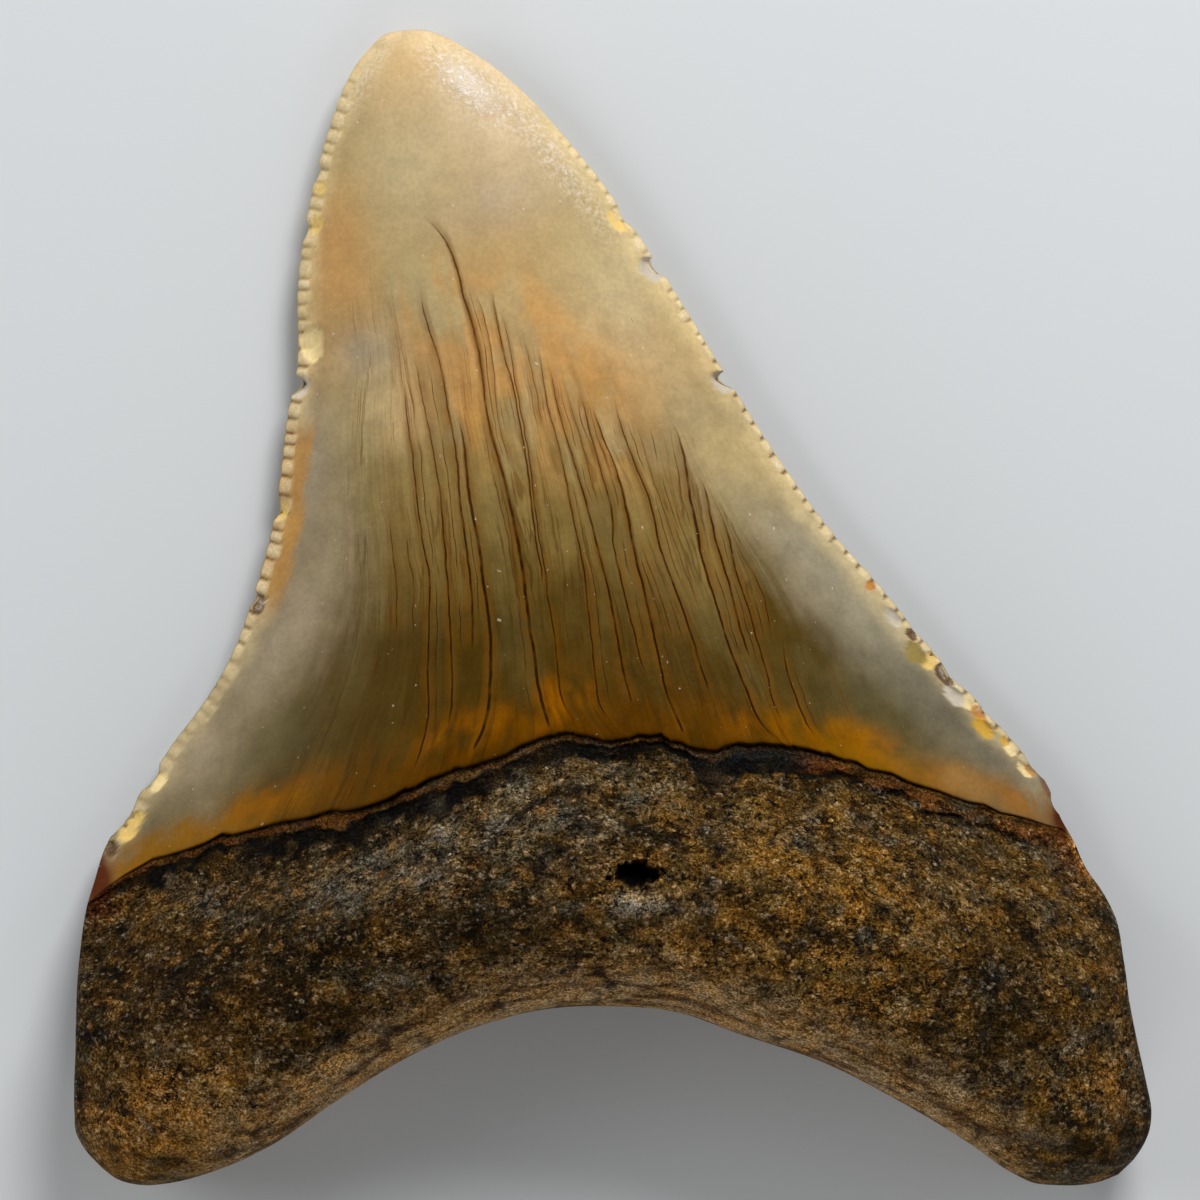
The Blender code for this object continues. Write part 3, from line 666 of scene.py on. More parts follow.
def crown_columns():
    """The columns between the blades' bands: their tracks, and the openness and stain of cracks."""
    cracks, open_parts = crack_tracks()
    ends = band_tracks(-1, [BAND_END]), band_tracks(1, [BAND_END])
    fixed = np.full_like(ends[0], BAND_WEIGHT)
    shares = spread_apart(
        np.concatenate([ends[0], cracks, ends[1]]), np.concatenate([fixed, open_parts, fixed])
    )
    left, right = edges_at(LEVELS)
    width = right - left
    shares = jag(shares, width)
    none, last = np.zeros_like(LEVELS), len(shares) - 1
    opened = [none, *(part * crack[0] for part, crack in zip(open_parts, CRACKS)), none]
    columns = [(shares[0], none, none)]
    random = np.random.default_rng(COLUMN_SEED)
    for low, high in zip(range(last), range(1, last + 1)):
        start, end = shares[low], shares[high]
        if low > 0:
            start = start + side_step(low, width, shares)
            columns.append((start, none, opened[low]))
        if high < last:
            end = end - side_step(high, width, shares)
        gap = (end[BASE_LEVEL] - start[BASE_LEVEL]) * width[BASE_LEVEL]
        count = max(1, round(gap / FILL_SPACING) - 1)
        chosen = random.integers(1, count + 1) if 0 < low < last - 1 else 0
        for step in range(1, count + 1):
            part = step / (count + 1)
            track = start * (1.0 - part) + end * part
            if step == chosen:
                room = (end - start) / (count + 1)
                columns += thin_crack(track, room, open_parts[low - 1 : low + 1], width, low)
            else:
                columns.append((track, none, none))
        if high < last:
            columns += [(end, none, opened[high]), (shares[high], opened[high], opened[high])]
    columns.append((shares[-1], none, none))
    return [np.array(values) for values in zip(*columns)]


def row_rise(row, length):
    """How far above its foot a row lies on a column of the given length."""
    ledge_rows = len(LEDGE) - 1
    rises = [rise for rise, _ in LEDGE]
    low = np.interp(row, range(len(LEDGE)), rises)
    part = np.clip((row - ledge_rows) / (CROWN_ROWS - ledge_rows), 0.0, 1.0)
    upper = rises[-1] + (length - rises[-1]) * (1.0 - (1.0 - part) ** ROW_CROWDING)
    return np.where(row < ledge_rows, low, upper)


def crown_grid(tracks, rows, above):
    """Places on the crown for columns and rows, before its fine relief."""
    foot, head = column_feet(tracks, above), column_heads(tracks)
    y = foot + row_rise(rows[None, :], head - foot)
    u = read_tracks(tracks, y)
    left, right = edges_at(y)
    x = left + u * (right - left)
    drop = facing(above) * np.interp(y - foot, *zip(*LEDGE))
    z = crown_height(u, x, y, head, above) - drop * ledge_share(u)
    return {"x": x, "y": y, "z": z, "u": u, "rise": y - foot}


def edge_lengths(side):
    """The length run along a blade up to each of the levels."""
    steps = np.hypot(np.diff(across(EDGES[side], LEVELS)), np.diff(LEVELS))
    return np.concatenate([[0.0], np.cumsum(steps)])


def blade_place(side, x, y):
    """Distance from a blade and the length along it, for places on the crown."""
    slope, stretch = edge_slope(side, y)
    left, right = edges_at(y)
    gap = (x - left) if side < 0 else (right - x)
    run = np.interp(y, LEVELS, edge_lengths(side)) + gap * np.abs(slope) / stretch
    return gap / stretch, run


def bead_rows(side):
    """The grooves between a blade's beads, and each bead's size and reach, all irregular."""
    random = np.random.default_rng(BEAD_SEEDS[side])
    total = edge_lengths(side)[-1]
    grooves = [0.0]
    while grooves[-1] < total + 2.0:
        grooves.append(grooves[-1] + random.uniform(*BEAD_PITCH))
    size = random.uniform(*BEAD_SIZE, len(grooves))
    reach = random.uniform(*BEAD_REACH[side], len(grooves))
    return np.array(grooves), size, reach


def beads(side, distance, run):
    """The saw edge: bead height and groove depth, both 0 to 1."""
    grooves, size, reach = bead_rows(side)
    place = np.clip(np.searchsorted(grooves, run) - 1, 0, len(grooves) - 2)
    part = (run - grooves[place]) / (grooves[place + 1] - grooves[place])
    bead = np.sin(math.pi * np.clip(part, 0.0, 1.0)) ** 0.5
    inner = beyond(distance, reach[place], -0.3)
    groove = (1.0 - bead) * inner
    return bead * size[place] * inner * smooth_step(distance / 0.2 + 0.3), groove


def chip_depth(side, y):
    """How far a break cuts into the blade at height y."""
    depth = np.zeros(np.shape(y))
    for chip_side, middle, half, deep in CHIPS:
        if chip_side == side:
            depth = np.maximum(depth, deep * np.clip(1.0 - ((y - middle) / half) ** 2, 0.0, 1.0))
    return depth


def scoops(side, distance, run):
    """The shallow breaks: their depth and, for each tone, how much of it shows."""
    depth = np.zeros_like(distance)
    tones = {tone: np.zeros_like(distance) for tone in SCOOP_TONES}
    lengths = edge_lengths(side)
    for scoop_side, y, middle, half_run, half_width, deep, tone in SCOOPS:
        if scoop_side != side:
            continue
        start = np.interp(y, LEVELS, lengths)
        reach = ((run - start) / half_run) ** 2 + ((distance - middle) / half_width) ** 2
        reach = reach * (1.0 + 0.5 * waves(run, distance, y, 1.2, 2))
        depth = np.maximum(depth, deep * np.clip(1.0 - reach, 0.0, 1.0) ** 0.6)
        tones[tone] = np.maximum(tones[tone], beyond(reach, 1.1, -0.25))
    return depth, tones


def add_blade_relief(grid, above):
    """Cuts the saw edge, its notches and the breaks into the crown's two margins."""
    x, y = grid["x"], grid["y"]
    none = np.zeros_like(x)
    grid |= {"bead": none, "groove": none, "tones": dict.fromkeys(SCOOP_TONES, none)}
    for side, (end, top) in BEAD_RUNS.items():
        worn = beyond(y, top, -4.0) * beyond(y, end, 3.0)
        if side < 0:
            worn = worn * (0.6 + 0.4 * beyond(y, -6.0, 5.0))
        distance, run = blade_place(side, x, y)
        near = beyond(distance, 2.6, -0.6)
        bead, groove = (value * worn * near for value in beads(side, distance, run))
        deep, tones = scoops(side, distance, run)
        grid["bead"] = np.maximum(grid["bead"], bead)
        grid["groove"] = np.maximum(grid["groove"], groove)
        lift = BEAD_RELIEF * (bead - 0.5 * groove) * beyond(distance, 0.0, 0.25)
        grid["z"] = grid["z"] + (lift - deep if above else -lift)
        inward = NOTCH_DEPTH * groove * worn * beyond(distance, 0.8, -0.8)
        inward = inward + chip_depth(side, y) * beyond(distance, 1.6, -1.6)
        grid["x"] = grid["x"] - side * inward
        if above:
            for tone, shown in tones.items():
                grid["tones"][tone] = np.maximum(grid["tones"][tone], shown)
    return grid


def colour_by_height(pigments, y):
    """Pigments given as (y, colour), mixed at each height."""
    heights = [height for height, _ in pigments]
    colours = np.array([colour for _, colour in pigments])
    return np.stack([np.interp(y, heights, colours[:, band]) for band in range(3)], axis=-1)


def patch(x, y, centre, half_size, turn=0.0):
    """A soft oval patch, 1 in its middle and 0 well outside."""
    cos, sin = math.cos(math.radians(turn)), math.sin(math.radians(turn))
    over, up = x - centre[0], y - centre[1]
    reach = ((over * cos + up * sin) / half_size[0]) ** 2
    reach = reach + ((up * cos - over * sin) / half_size[1]) ** 2
    return np.exp(-reach)


def patches(x, y, places):
    """The sum of soft oval patches."""
    return sum(strength * patch(x, y, *place) for strength, *place in places)


def paint(tint, layers):
    """Lays pigments over a tint one after another, each by its share from 0 to 1."""
    for pigment, share in layers:
        share = np.clip(share, 0.0, 1.0)[..., None]
        tint = tint * (1.0 - share) + np.asarray(pigment) * share
    return tint


def body_layers(x, y, fan, cloud, flames):
    """The enamel's blotched middle and its grey wings, with painted shade low on the right wing, as
    (pigment, share).
    """
    lower = smooth_step((22.0 - y + 2.0 * cloud) / 12.0)
    left = smooth_step((across(BODY_LEFT, y) - x + cloud + 1.2 * flames + 3.0) / 7.0) * lower
    right = smooth_step((x - across(BODY_RIGHT, y) + cloud + 1.2 * flames + 2.5) / 8.0) * lower
    middle = (1.0 - left) * (1.0 - right)
    blotch = waves(fan * 0.35, y * 0.2, 5.0, 1.0, 3)
    olive = waves(fan * 0.25, y * 0.1, 11.0, 1.0, 3)
    high = beyond(y, 7.0, 6.0) * beyond(y, 29.0, -6.0) * beyond(x, -19.0, 4.0)
    high = high * smooth_step((19.5 - x - 0.93 * y + 2.0 * cloud) / 4.0)
    low = beyond(y, 13.0, -5.0) * beyond(y, -9.0, 4.0) * middle
    return [
        (PINK, 0.75 * smooth_step(0.35 + 2.2 * blotch) * high * middle),
        (GREY_GREEN, 0.55 * smooth_step(-0.05 - 2.2 * blotch) * high * middle),
        (GREY_OLIVE, 0.35 * smooth_step(2.2 * olive) * low),
        (LEFT_GREY, left),
        (RIGHT_GREY, right),
        (TAN, right * beyond(y, 4.0, 8.0)),
        # Painted shade: the lower part of the right wing darker
        (WING_SHADE, 0.9 * right * beyond(y, 0.0, -8.0)),
    ]


def foot_layers(grid, fan, fine, flames):
    """The amber, the flames and the dark streaks at the enamel's foot, as (pigment, share)."""
    x, y, rise = grid["x"], grid["y"], grid["rise"]
    amber = smooth_step((5.0 - rise + 1.5 * fine + 1.3 * flames) / 3.6)
    side = smooth_step(np.abs(grid["u"] - 0.44) / 0.2 - 0.8)
    side_amber = 0.95 * amber * side * smooth_step((4.6 - rise + fine) / 2.6)
    streaks = smooth_step(-0.1 + 2.4 * waves(fan * 1.6, y * 0.12, 17.0, 1.0, 3))
    streaks = streaks * beyond(rise, 7.0, -3.0)
    flame = 0.8 * patches(x, y, FLAME_PATCHES)
    return [
        (SIDE_AMBER, side_amber * (1.0 - 0.45 * beyond(x, 19.0, 8.0))),
        (AMBER, amber * (1.0 - side)),
        (SAND, 0.7 * patch(x, y, (26.5, -13.4), (4.5, 1.3), -25.0) * (1.0 + fine)),
        (FLAME, flame * smooth_step(0.7 + 1.2 * flames + fine)),
        (DARK_OLIVE * 0.7, 0.55 * streaks * (1.0 - side)),
    ]


def margin_layers(grid, fine):
    """The crown's rims, beads, grooves and breaks, and a painted sheen by the tip, as (pigment,
    share).
    """
    x, y = grid["x"], grid["y"]
    left_gap, right_gap = (blade_place(side, x, y)[0] for side in (-1, 1))
    cream = 0.45 - 0.3 * beyond(y, -2.0, -4.0) * (x < 0.0)
    cream = cream - 0.35 * beyond(y, -11.0, -2.0) * (x > 0.0)
    strip = smooth_step((2.4 + 0.3 * fine - left_gap) / 0.4)
    left_rim = smooth_step((0.5 + 0.4 * fine - left_gap) / 0.25) * beyond(y, -16.5, -1.5)
    right_rim = smooth_step((0.5 + 0.4 * fine - right_gap) / 0.25) * beyond(y, -11.5, -1.5)
    grooved = smooth_step(grid["groove"] / 0.6 - 0.3) * (0.9 - 0.5 * beyond(y, 16.0, 10.0))
    nearest = np.minimum(left_gap, right_gap)
    return [
        (CREAM, cream * smooth_step((2.2 - nearest + 0.5 * fine) / 1.6)),
        (ORANGE, 0.75 * strip * beyond(y, 15.0, -3.0) * beyond(y, -2.0, 4.0)),
        (RIM_PURPLE, 0.8 * right_rim),
        (RIM_PURPLE * 0.6, 0.8 * left_rim),
        # Painted sheen on the tip's upper right slope
        (PAINTED_TIP_SHEEN, 0.6 * patch(x, y, (-9.0, 37.0), (4.0, 6.0), 35.0)),
        (CREAM, 0.85 * grid["bead"]),
        (ORANGE * 0.3, grooved),
        *((SCOOP_TONES[tone], 0.9 * shown) for tone, shown in grid["tones"].items()),
        (RUST * 0.75, patches(x, y, CROWN_CORNERS)),
    ]


def crown_tint(grid):
    """The enamel's broad colours: cream tip, tan, pink, olive, amber foot and grey wings."""
    x, y, fan = grid["x"], grid["y"], grid["fan"] * FAN_WIDTH
    cloud = waves(x, y, 3.0, 9.0, 3)
    fine = waves(x, y, 8.0, 2.5, 3)
    flames = waves(fan, y * 0.22, 2.0, 1.0, 3)
    tint = colour_by_height(BODY_PIGMENTS, y + 2.0 * cloud + 1.5 * flames)
    spots = [(pigment, share * patch(x, y, *place)) for pigment, share, *place in CROWN_PATCHES]
    layers = body_layers(x, y, fan, cloud, flames) + spots + foot_layers(grid, fan, fine, flames)
    return paint(tint, layers + margin_layers(grid, fine))


class MeshParts:
    """Collects places, faces and the values that ride on places, for one closed mesh."""

    def __init__(self):
        self.places, self.faces, self.values, self.count = [], [], [], 0

    def add_grid(self, grid, tint, extras):
        """Adds a grid's places and returns their numbers in the grid's own layout."""
        shape = grid["x"].shape
        self.places.append(np.stack([grid["x"], grid["y"], grid["z"]], axis=-1).reshape(-1, 3))
        layers = [tint, *(extra[..., None] for extra in extras)]
        self.values.append(np.concatenate(layers, axis=-1).reshape(len(self.places[-1]), -1))
        numbers = np.arange(self.count, self.count + shape[0] * shape[1]).reshape(shape)
        self.count += numbers.size
        return numbers

    def add_quads(self, numbers):
        """Joins neighbouring places of a grid with squares."""
        corners = (numbers[:-1, :-1], numbers[1:, :-1], numbers[1:, 1:], numbers[:-1, 1:])
        self.faces += np.stack(corners, axis=-1).reshape(-1, 4).tolist()

    def add_stitches(self, fine, plain):
        """Joins a column with FINE rows to each plain row to a plain column, with triangles."""
        half = FINE // 2
        for row in range(len(plain) - 1):
            start = row * FINE
            for step in range(FINE):
                end = plain[row] if step < half else plain[row + 1]
                self.faces.append([fine[start + step], fine[start + step + 1], end])
            self.faces.append([plain[row], fine[start + half], plain[row + 1]])

    def close_rims(self, front, back):
        """Joins two rims that share their first and their last place."""
        self.add_quads(np.stack([front, back], axis=1)[1:-1])
        for end, beside in ((0, 1), (-1, -2)):
            self.faces.append([int(front[end]), int(front[beside]), int(back[beside])])

    def compact(self):
        """The places that faces use, the faces renumbered, and the values of those places."""
        places, values = np.concatenate(self.places), np.concatenate(self.values)
        used = np.zeros(len(places), dtype=bool)
        for face in self.faces:
            used[face] = True
        renumber = np.cumsum(used) - 1
        faces = [[int(renumber[corner]) for corner in face] for face in self.faces]
        return places[used], faces, values[used]


def make_mesh(name, parts, names):
    """Makes the mesh object, closed and facing out, with its tint and its named values."""
    places, faces, values = parts.compact()
    mesh = bpy.data.meshes.new(name)
    mesh.from_pydata((places * MM).tolist(), [], faces)
    bm = bmesh.new()
    bm.from_mesh(mesh)
    bmesh.ops.recalc_face_normals(bm, faces=bm.faces)
    bm.to_mesh(mesh)
    bm.free()
    mesh.shade_smooth()
    tint = np.concatenate([values[:, :3], np.ones((len(values), 1))], axis=1)
    layer = mesh.color_attributes.new("tint", "FLOAT_COLOR", "POINT")
    layer.data.foreach_set("color", tint.astype(np.float32).ravel())
    for number, value_name in enumerate(names):
        layer = mesh.attributes.new(value_name, "FLOAT", "POINT")
        layer.data.foreach_set("value", values[:, 3 + number].astype(np.float32))
    piece = bpy.data.objects.new(name, mesh)
    bpy.context.scene.collection.objects.link(piece)
    return piece


def crown_face(parts, columns, above, shared):
    """One face of the crown. Returns its numbers, for the other face to share its rim."""
    tracks, opened, stained = columns
    fine_rows = np.linspace(0.0, CROWN_ROWS, CROWN_ROWS * FINE + 1)
    left_band, right_band = band_tracks(-1, BAND_DEPTHS), band_tracks(1, BAND_DEPTHS)[::-1]
    groups = (left_band, fine_rows), (tracks, np.arange(CROWN_ROWS + 1.0)), (right_band, fine_rows)
    numbers = []
    for group, rows in groups:
        grid = add_blade_relief(crown_grid(group, rows, above), above)
        x, y = grid["x"], grid["y"]
        crack = stain = np.zeros_like(x)
        if above and group is tracks:
            crack, stain = read_tracks(opened, y), read_tracks(stained, y)
            wander = 0.75 + 0.5 * waves(x * 3.0, y, 1.0, 2.2, 2)
            grid["z"] = grid["z"] - CRACK_DEPTH * np.clip(crack * wander, 0.0, 1.0)
        grid["z"] = np.maximum(grid["z"], 0.0)
        grid["fan"] = group[:, BASE_LEVEL, None] + np.zeros_like(x)
        # The painted highlight, on the tip's slopes and on the bead tops
        painted_highlight = np.maximum(patches(x, y, PAINTED_HIGHLIGHT_PATCHES), 0.8 * grid["bead"] ** 2) * above
        numbers.append(parts.add_grid(grid, crown_tint(grid), [crack, stain, grid["fan"], painted_highlight]))
    left, middle, right = numbers
    if shared is not None:
        left[0], right[-1] = shared[0][0], shared[2][-1]
        left[:, -1], middle[:, -1], right[:, -1] = (shared[part][:, -1] for part in range(3))
    parts.add_quads(left)
    parts.add_stitches(left[-1], middle[0])
    parts.add_quads(middle)
    parts.add_stitches(right[0], middle[-1])
    parts.add_quads(right)
    return left, middle, right


def make_crown():
    """The enamel crown: two faces that share the blades and the tip, closed under the neck."""
    parts = MeshParts()
    columns = crown_columns()
    front = crown_face(parts, columns, True, None)
    back = crown_face(parts, columns, False, front)
    parts.close_rims(*(np.concatenate([part[:, 0] for part in face]) for face in (front, back)))
    return make_mesh("crown_enamel", parts, ["crack", "stain", "fan", "painted_highlight"])


def root_rim_distance(x, y):
    """Distance from the root's free edge: its two sides and the arch."""
    lines = [np.stack(run_of(BASAL_EDGE, np.linspace(0.0, 1.0, 160)), axis=1)]
    for points, neck_end, steps in ((LEFT_EDGE, NECK_FRONT[0], 50), (RIGHT_EDGE, NECK_FRONT[-1], 60)):
        heights = np.linspace(points[0][1], neck_end[1], steps)
        lines.append(np.stack([across(points, heights), heights], axis=1))
    nearest = np.full(np.shape(x), np.inf)
    for line in lines:
        for start, end in zip(line[:-1], line[1:]):
            run = end - start
            share = ((x - start[0]) * run[0] + (y - start[1]) * run[1]) / max(run @ run, 1e-12)
            share = np.clip(share, 0.0, 1.0)
            gap = np.hypot(x - start[0] - share * run[0], y - start[1] - share * run[1])
            nearest = np.minimum(nearest, gap)
    return nearest


def root_height(x, y, w, neck_height, distance, above):
    """Height of the root's surface, which swells from the neck to a thick rounded bar."""
    rim = rim_height(x, y)
    if above:
        crest = ROOT_THICKNESS - CREST_FALL * x * x
        lobe = beyond(np.abs(x), *LOBE_ROUNDING_OUT)
        reach = ROUNDING_ABOVE + (LOBE_ROUNDING_ABOVE - ROUNDING_ABOVE) * lobe
        body = rim + (crest - rim) * quarter_round(distance / reach)
        return body + (neck_height - body) * beyond(w, *NECK_ABOVE)
    body = rim - (rim - underside_height(x, y)) * quarter_round(distance / ROUNDING_BELOW)
    return body + (neck_height - body) * beyond(w, *NECK_BELOW)


def even_shares(count, peaks):
    """Shares from 0 to 1 that stand closer together around each (place, width, strength)."""
    fine = np.linspace(0.0, 1.0, 2001)
    density = np.ones_like(fine)
    for place, width, strength in peaks:
        density += strength * np.exp(-(((fine - place) / width) ** 2))
    total = np.concatenate([[0.0], np.cumsum((density[1:] + density[:-1]) * 0.5)])
    return np.interp(np.linspace(0.0, 1.0, count + 1), total / total[-1], fine)


def side_swell(points, u, w):
    """How far a side of the root stands off the straight line from its corner to the neck."""
    start_x, start_y = points[0]
    end_y = column_feet(np.full((1, len(LEVELS)), u), True)[0, 0]
    end_x = across(points, end_y)
    return across(points, start_y + (end_y - start_y) * w) - (start_x + (end_x - start_x) * w)


def neck_relief(x, y, gap, above):
    """The bands below the enamel, and the groove and ridge at the right of the neck."""
    narrow = np.interp(x, *zip(*NECK_BAND_WIDTH))
    middle = 1.9 + 0.7 * waves(x * 0.4, y, 8.0, 1.6, 3)
    groove = np.exp(-(((gap - middle) / GROOVE_WIDTH) ** 2))
    ridge = beyond(gap, 0.35, 0.3) * beyond(gap, middle, -0.3) * beyond(x, 12.0, 4.0)
    return {
        "under": gap / narrow * (1.0 + 0.5 * waves(x * 0.6, y, 1.0, 1.6, 3)),
        "groove": groove * beyond(x, 13.0, 4.0) * beyond(x, 34.0, -2.0) * above,
        "ridge": ridge * above,
    }


def root_grid(above):
    """Places on the root, in a patch between the arch and the neck and the two sides."""
    shares = even_shares(ROOT_COLUMNS, COLUMN_PEAKS)
    u = shares[:, None]
    tracks = np.repeat(u, len(LEVELS), axis=1)
    foot_x, foot_y = (value[:, None] for value in run_of(BASAL_EDGE, shares))
    neck_y = column_feet(tracks, above)
    left, right = edges_at(neck_y)
    neck_x = left + u * (right - left)
    neck_z = crown_height(u, neck_x, neck_y, column_heads(tracks), above)
    neck_z = neck_z - facing(above) * ENAMEL_LEDGE * ledge_share(u)
    length = np.hypot(neck_x - foot_x, neck_y - foot_y)
    body = even_shares(ROOT_ROWS, ROW_PEAKS)
    below = np.linspace(NECK_BAND, 0.0, NECK_ROWS + 1)[1:]
    w = np.concatenate([body * (1.0 - NECK_BAND / length), 1.0 - below / length], axis=1)
    y = foot_y + (neck_y - foot_y) * w
    x = foot_x + (neck_x - foot_x) * w + (1.0 - u) * side_swell(LEFT_EDGE, 0.0, w)
    x = x + u * side_swell(RIGHT_EDGE, 1.0, w)
    distance = root_rim_distance(x, y)
    relief = neck_relief(x, y, (1.0 - w) * length, above)
    bands = facing(above) * np.interp(relief["under"], *zip(*NECK_PROFILE))
    z = root_height(x, y, w, neck_z, distance, above) + bands * (0.25 + 0.75 * ledge_share(u))
    z = z - GROOVE_DEPTH * relief["groove"]
    places = {"x": x, "y": y, "z": z, "u": u + 0 * x, "w": w}
    return places | {"arch_gap": w * length, "distance": distance} | relief


def tuck_under_enamel(grid, above):
    """Adds one more row to the root, which runs up under the enamel."""
    u = grid["u"][:, -1]
    inset = 0.25 + 0.75 * ledge_share(u)
    last = {
        "x": grid["x"][:, -1] + 0.25 * np.sign(1.0 - 2.0 * u) * (1.0 - inset),
        "y": grid["y"][:, -1] + UNDER_ENAMEL * inset,
        "z": grid["z"][:, -1] - facing(above) * UNDER_ENAMEL * inset,
    }
    for name in grid:
        row = last.get(name, grid[name][:, -1])
        grid[name] = np.concatenate([grid[name], row[:, None]], axis=1)
    return grid


def pores(x, y):
    """Small pits of the bone, scattered by a fixed seed: how deep each place lies."""
    random = np.random.default_rng(PORE_SEED)
    depth = np.zeros_like(x)
    for _ in range(PORE_COUNT):
        middle = random.uniform((-41.0, -44.0), (41.0, -9.0))
        half = random.uniform(0.16, 0.5) * np.array([random.uniform(0.8, 1.8), 1.0])
        deep = random.uniform(0.08, 0.28)
        reach = ((x - middle[0]) / half[0]) ** 2 + ((y - middle[1]) / half[1]) ** 2
        near = reach < 1.0
        depth[near] = np.maximum(depth[near], deep * (1.0 - reach[near]))
    return depth


def rounded_clumps(x, y, level, size):
    """Rounded clumps of the given size with narrow creases between them, from -1 to 1."""
    flat = np.stack(np.broadcast_arrays(x, y, level), axis=-1).reshape(-1, 3) / size
    values = [noise.voronoi(Vector(spot))[0][0] for spot in flat]
    return 1.0 - 2.0 * np.array(values).reshape(x.shape)


def hole_reach(x, y):
    """How far out a place is from the nutrient hole's middle, with a ragged rim near 1."""
    over = np.abs((x - FORAMEN_CENTRE[0]) / FORAMEN_HALF_SIZE[0]) ** 1.3
    up = np.abs((y - FORAMEN_CENTRE[1]) / FORAMEN_HALF_SIZE[1]) ** 1.5
    return (over + up) * (1.0 + 0.6 * waves(x, y, 2.0, 0.7, 3))


def root_relief(grid, above):
    """Lumps, clumps, grain and pores of the bone, and the nutrient hole."""
    x, y = grid["x"], grid["y"]
    level = 4.0 if above else 9.0
    rim_fade = smooth_step(grid["distance"] / 1.5)
    body = np.minimum(smooth_step(grid["w"] / 0.1), smooth_step((1.0 - grid["w"]) / 0.25))
    calm = beyond(grid["under"], 1.4, 1.4)
    lumps = waves(x * 0.16, y * 0.2, level, 1.0) * 1.1
    lumps = lumps + waves(x * 0.42, y * 0.5, level - 3.0, 1.0) * 0.7
    bend = waves(x, y, level + 3.0, 4.0, 2)
    ridges = waves(x * 0.6, y + bend, level, 3.0, 3)
    grain = waves(x * 0.75, y, level, 0.9, 3)
    rough = smooth_step((grid["distance"] - 1.5 + bend) / 5.0)
    crumbs = rounded_clumps(x * 0.7 + bend, y + 0.6 * bend, level, 1.25)
    grid["crumbs"] = (0.6 * crumbs + 0.6 * grain + 0.4 * ridges) * calm
    lift = LUMP_HEIGHT * body * lumps + rim_fade * calm * (0.3 * ridges + 0.16 * grain)
    lift = lift + 0.16 * crumbs * calm * rough - pores(x, y) * calm * rim_fade
    grid["hole"] = np.zeros_like(x)
    if above:
        reach = hole_reach(x, y)
        lift = lift - FORAMEN_DEPTH * beyond(reach, 1.35, -1.1)
        lift = lift + 0.2 * patch(x, y, GREY_LEDGE, (2.2, 0.8))
        grid["hole"] = beyond(reach, 1.25, -0.5)
    grid["z"] = np.maximum(grid["z"] + facing(above) * lift, 0.0)
    return grid


def bone_layers(grid, fine):
    """The bone's browns, gold and grey, the smoother strip along the arch, and painted highlight,
    bounce light and shade.
    """
    x, y, z = grid["x"], grid["y"], grid["z"]
    cloud = waves(x, y, z + 14.0, 7.0, 3)
    grey = waves(x * 0.6, y, z + 31.0, 2.4, 3)
    gold = waves(x * 0.8, y, z + 47.0, 2.0, 3)
    streaks = waves(grid["u"] * 14.0, grid["arch_gap"] * 1.1, z * 0.7, 1.0, 4)
    basal = smooth_step((5.5 - grid["arch_gap"] + fine) / 3.5) * beyond(np.abs(x), 33.0, -5.0)
    return [
        (ROOT_BROWN, 0.6 + 1.3 * cloud + 0.7 * fine),
        (ROOT_GREY, smooth_step(2.2 * grey) * 0.6),
        (ROOT_GOLD, smooth_step(2.2 * gold - 0.1) * 0.6),
        (ROOT_GOLD, patches(x, y, GOLD_PATCHES) * (0.6 + 1.2 * fine)),
        # The lighter strip along the arch: partly the smoother bone's own tan, partly painted bounce
        # light
        (ROOT_TAN, 0.9 * basal),
        (NECK_BROWN * 0.7, 0.8 * basal * smooth_step(0.1 + 2.0 * streaks)),
        (ROOT_TAN * 1.3, 0.5 * basal * smooth_step(-0.2 - 2.0 * streaks)),
        # Partly the bone's grey, partly painted highlight on the root's upper slope below the neck
        (ROOT_GREY * 1.2, 0.9 * patch(x, y, (-7.0, -15.6), (11.0, 3.0), 8.0) * (0.7 + 1.5 * fine)),
        *(
            (pigment, strength * patch(x, y, *place) * (0.9 + 1.2 * fine))
            for pigment, strength, *place in ROOT_PATCHES
        ),
        # Painted shade: black in the low creases of the crumbly relief
        (ROOT_BLACK, 0.8 * smooth_step(-0.25 - 1.5 * grid["crumbs"])),
    ]


def neck_layers(grid, fine):
    """The brown and black bands, groove and ridge at the neck, the rusty corners and painted shade in
    the hole.
    """
    x, y, under = grid["x"], grid["y"], grid["under"]
    brown = beyond(under, 0.16, 0.15) * beyond(under, 1.1, -0.2)
    ragged = 3.0 - under + 0.8 * fine + waves(x, y, 21.0, 0.8, 3)
    black = beyond(under, 0.8, 0.2) * smooth_step(ragged / 0.5)
    rim = smooth_step((0.1 + 0.2 * waves(x, y, 2.0, 0.7, 2) - under) / 0.08)
    return [
        (NECK_BROWN, brown * (0.6 + 0.4 * beyond(x, -8.0, -6.0)) * (0.8 + fine)),
        (ROOT_BLACK, (1.0 - 0.5 * fine) * black * beyond(x, -39.5, 3.0) * beyond(x, 20.0, -5.0)),
        (ROOT_BLACK, rim),
        (NECK_BROWN * 1.5, (0.7 + 1.2 * fine) * grid["ridge"]),
        (ROOT_BLACK, 0.95 * grid["groove"]),
        (ROOT_BLUE, patch(x, y, (11.6, -11.1), (4.4, 0.9))),
        (RUST, 0.9 * patches(x, y, ROOT_CORNERS)),
        (FLAKE, 1.2 * patch(x, y, (35.4, -18.4), (1.6, 0.35), -70.0)),
        # Painted shade in the nutrient hole
        (ROOT_BLACK * 0.5, grid["hole"]),
    ]


def root_tint(grid):
    """The bone's broad colours: dark brown, golden patches and the dark bands at the neck."""
    fine = waves(grid["x"] * 0.7, grid["y"], grid["z"] + 18.0, 2.0, 3)
    base = np.ones(grid["x"].shape + (3,)) * ROOT_DARK
    return paint(base, bone_layers(grid, fine) + neck_layers(grid, fine))


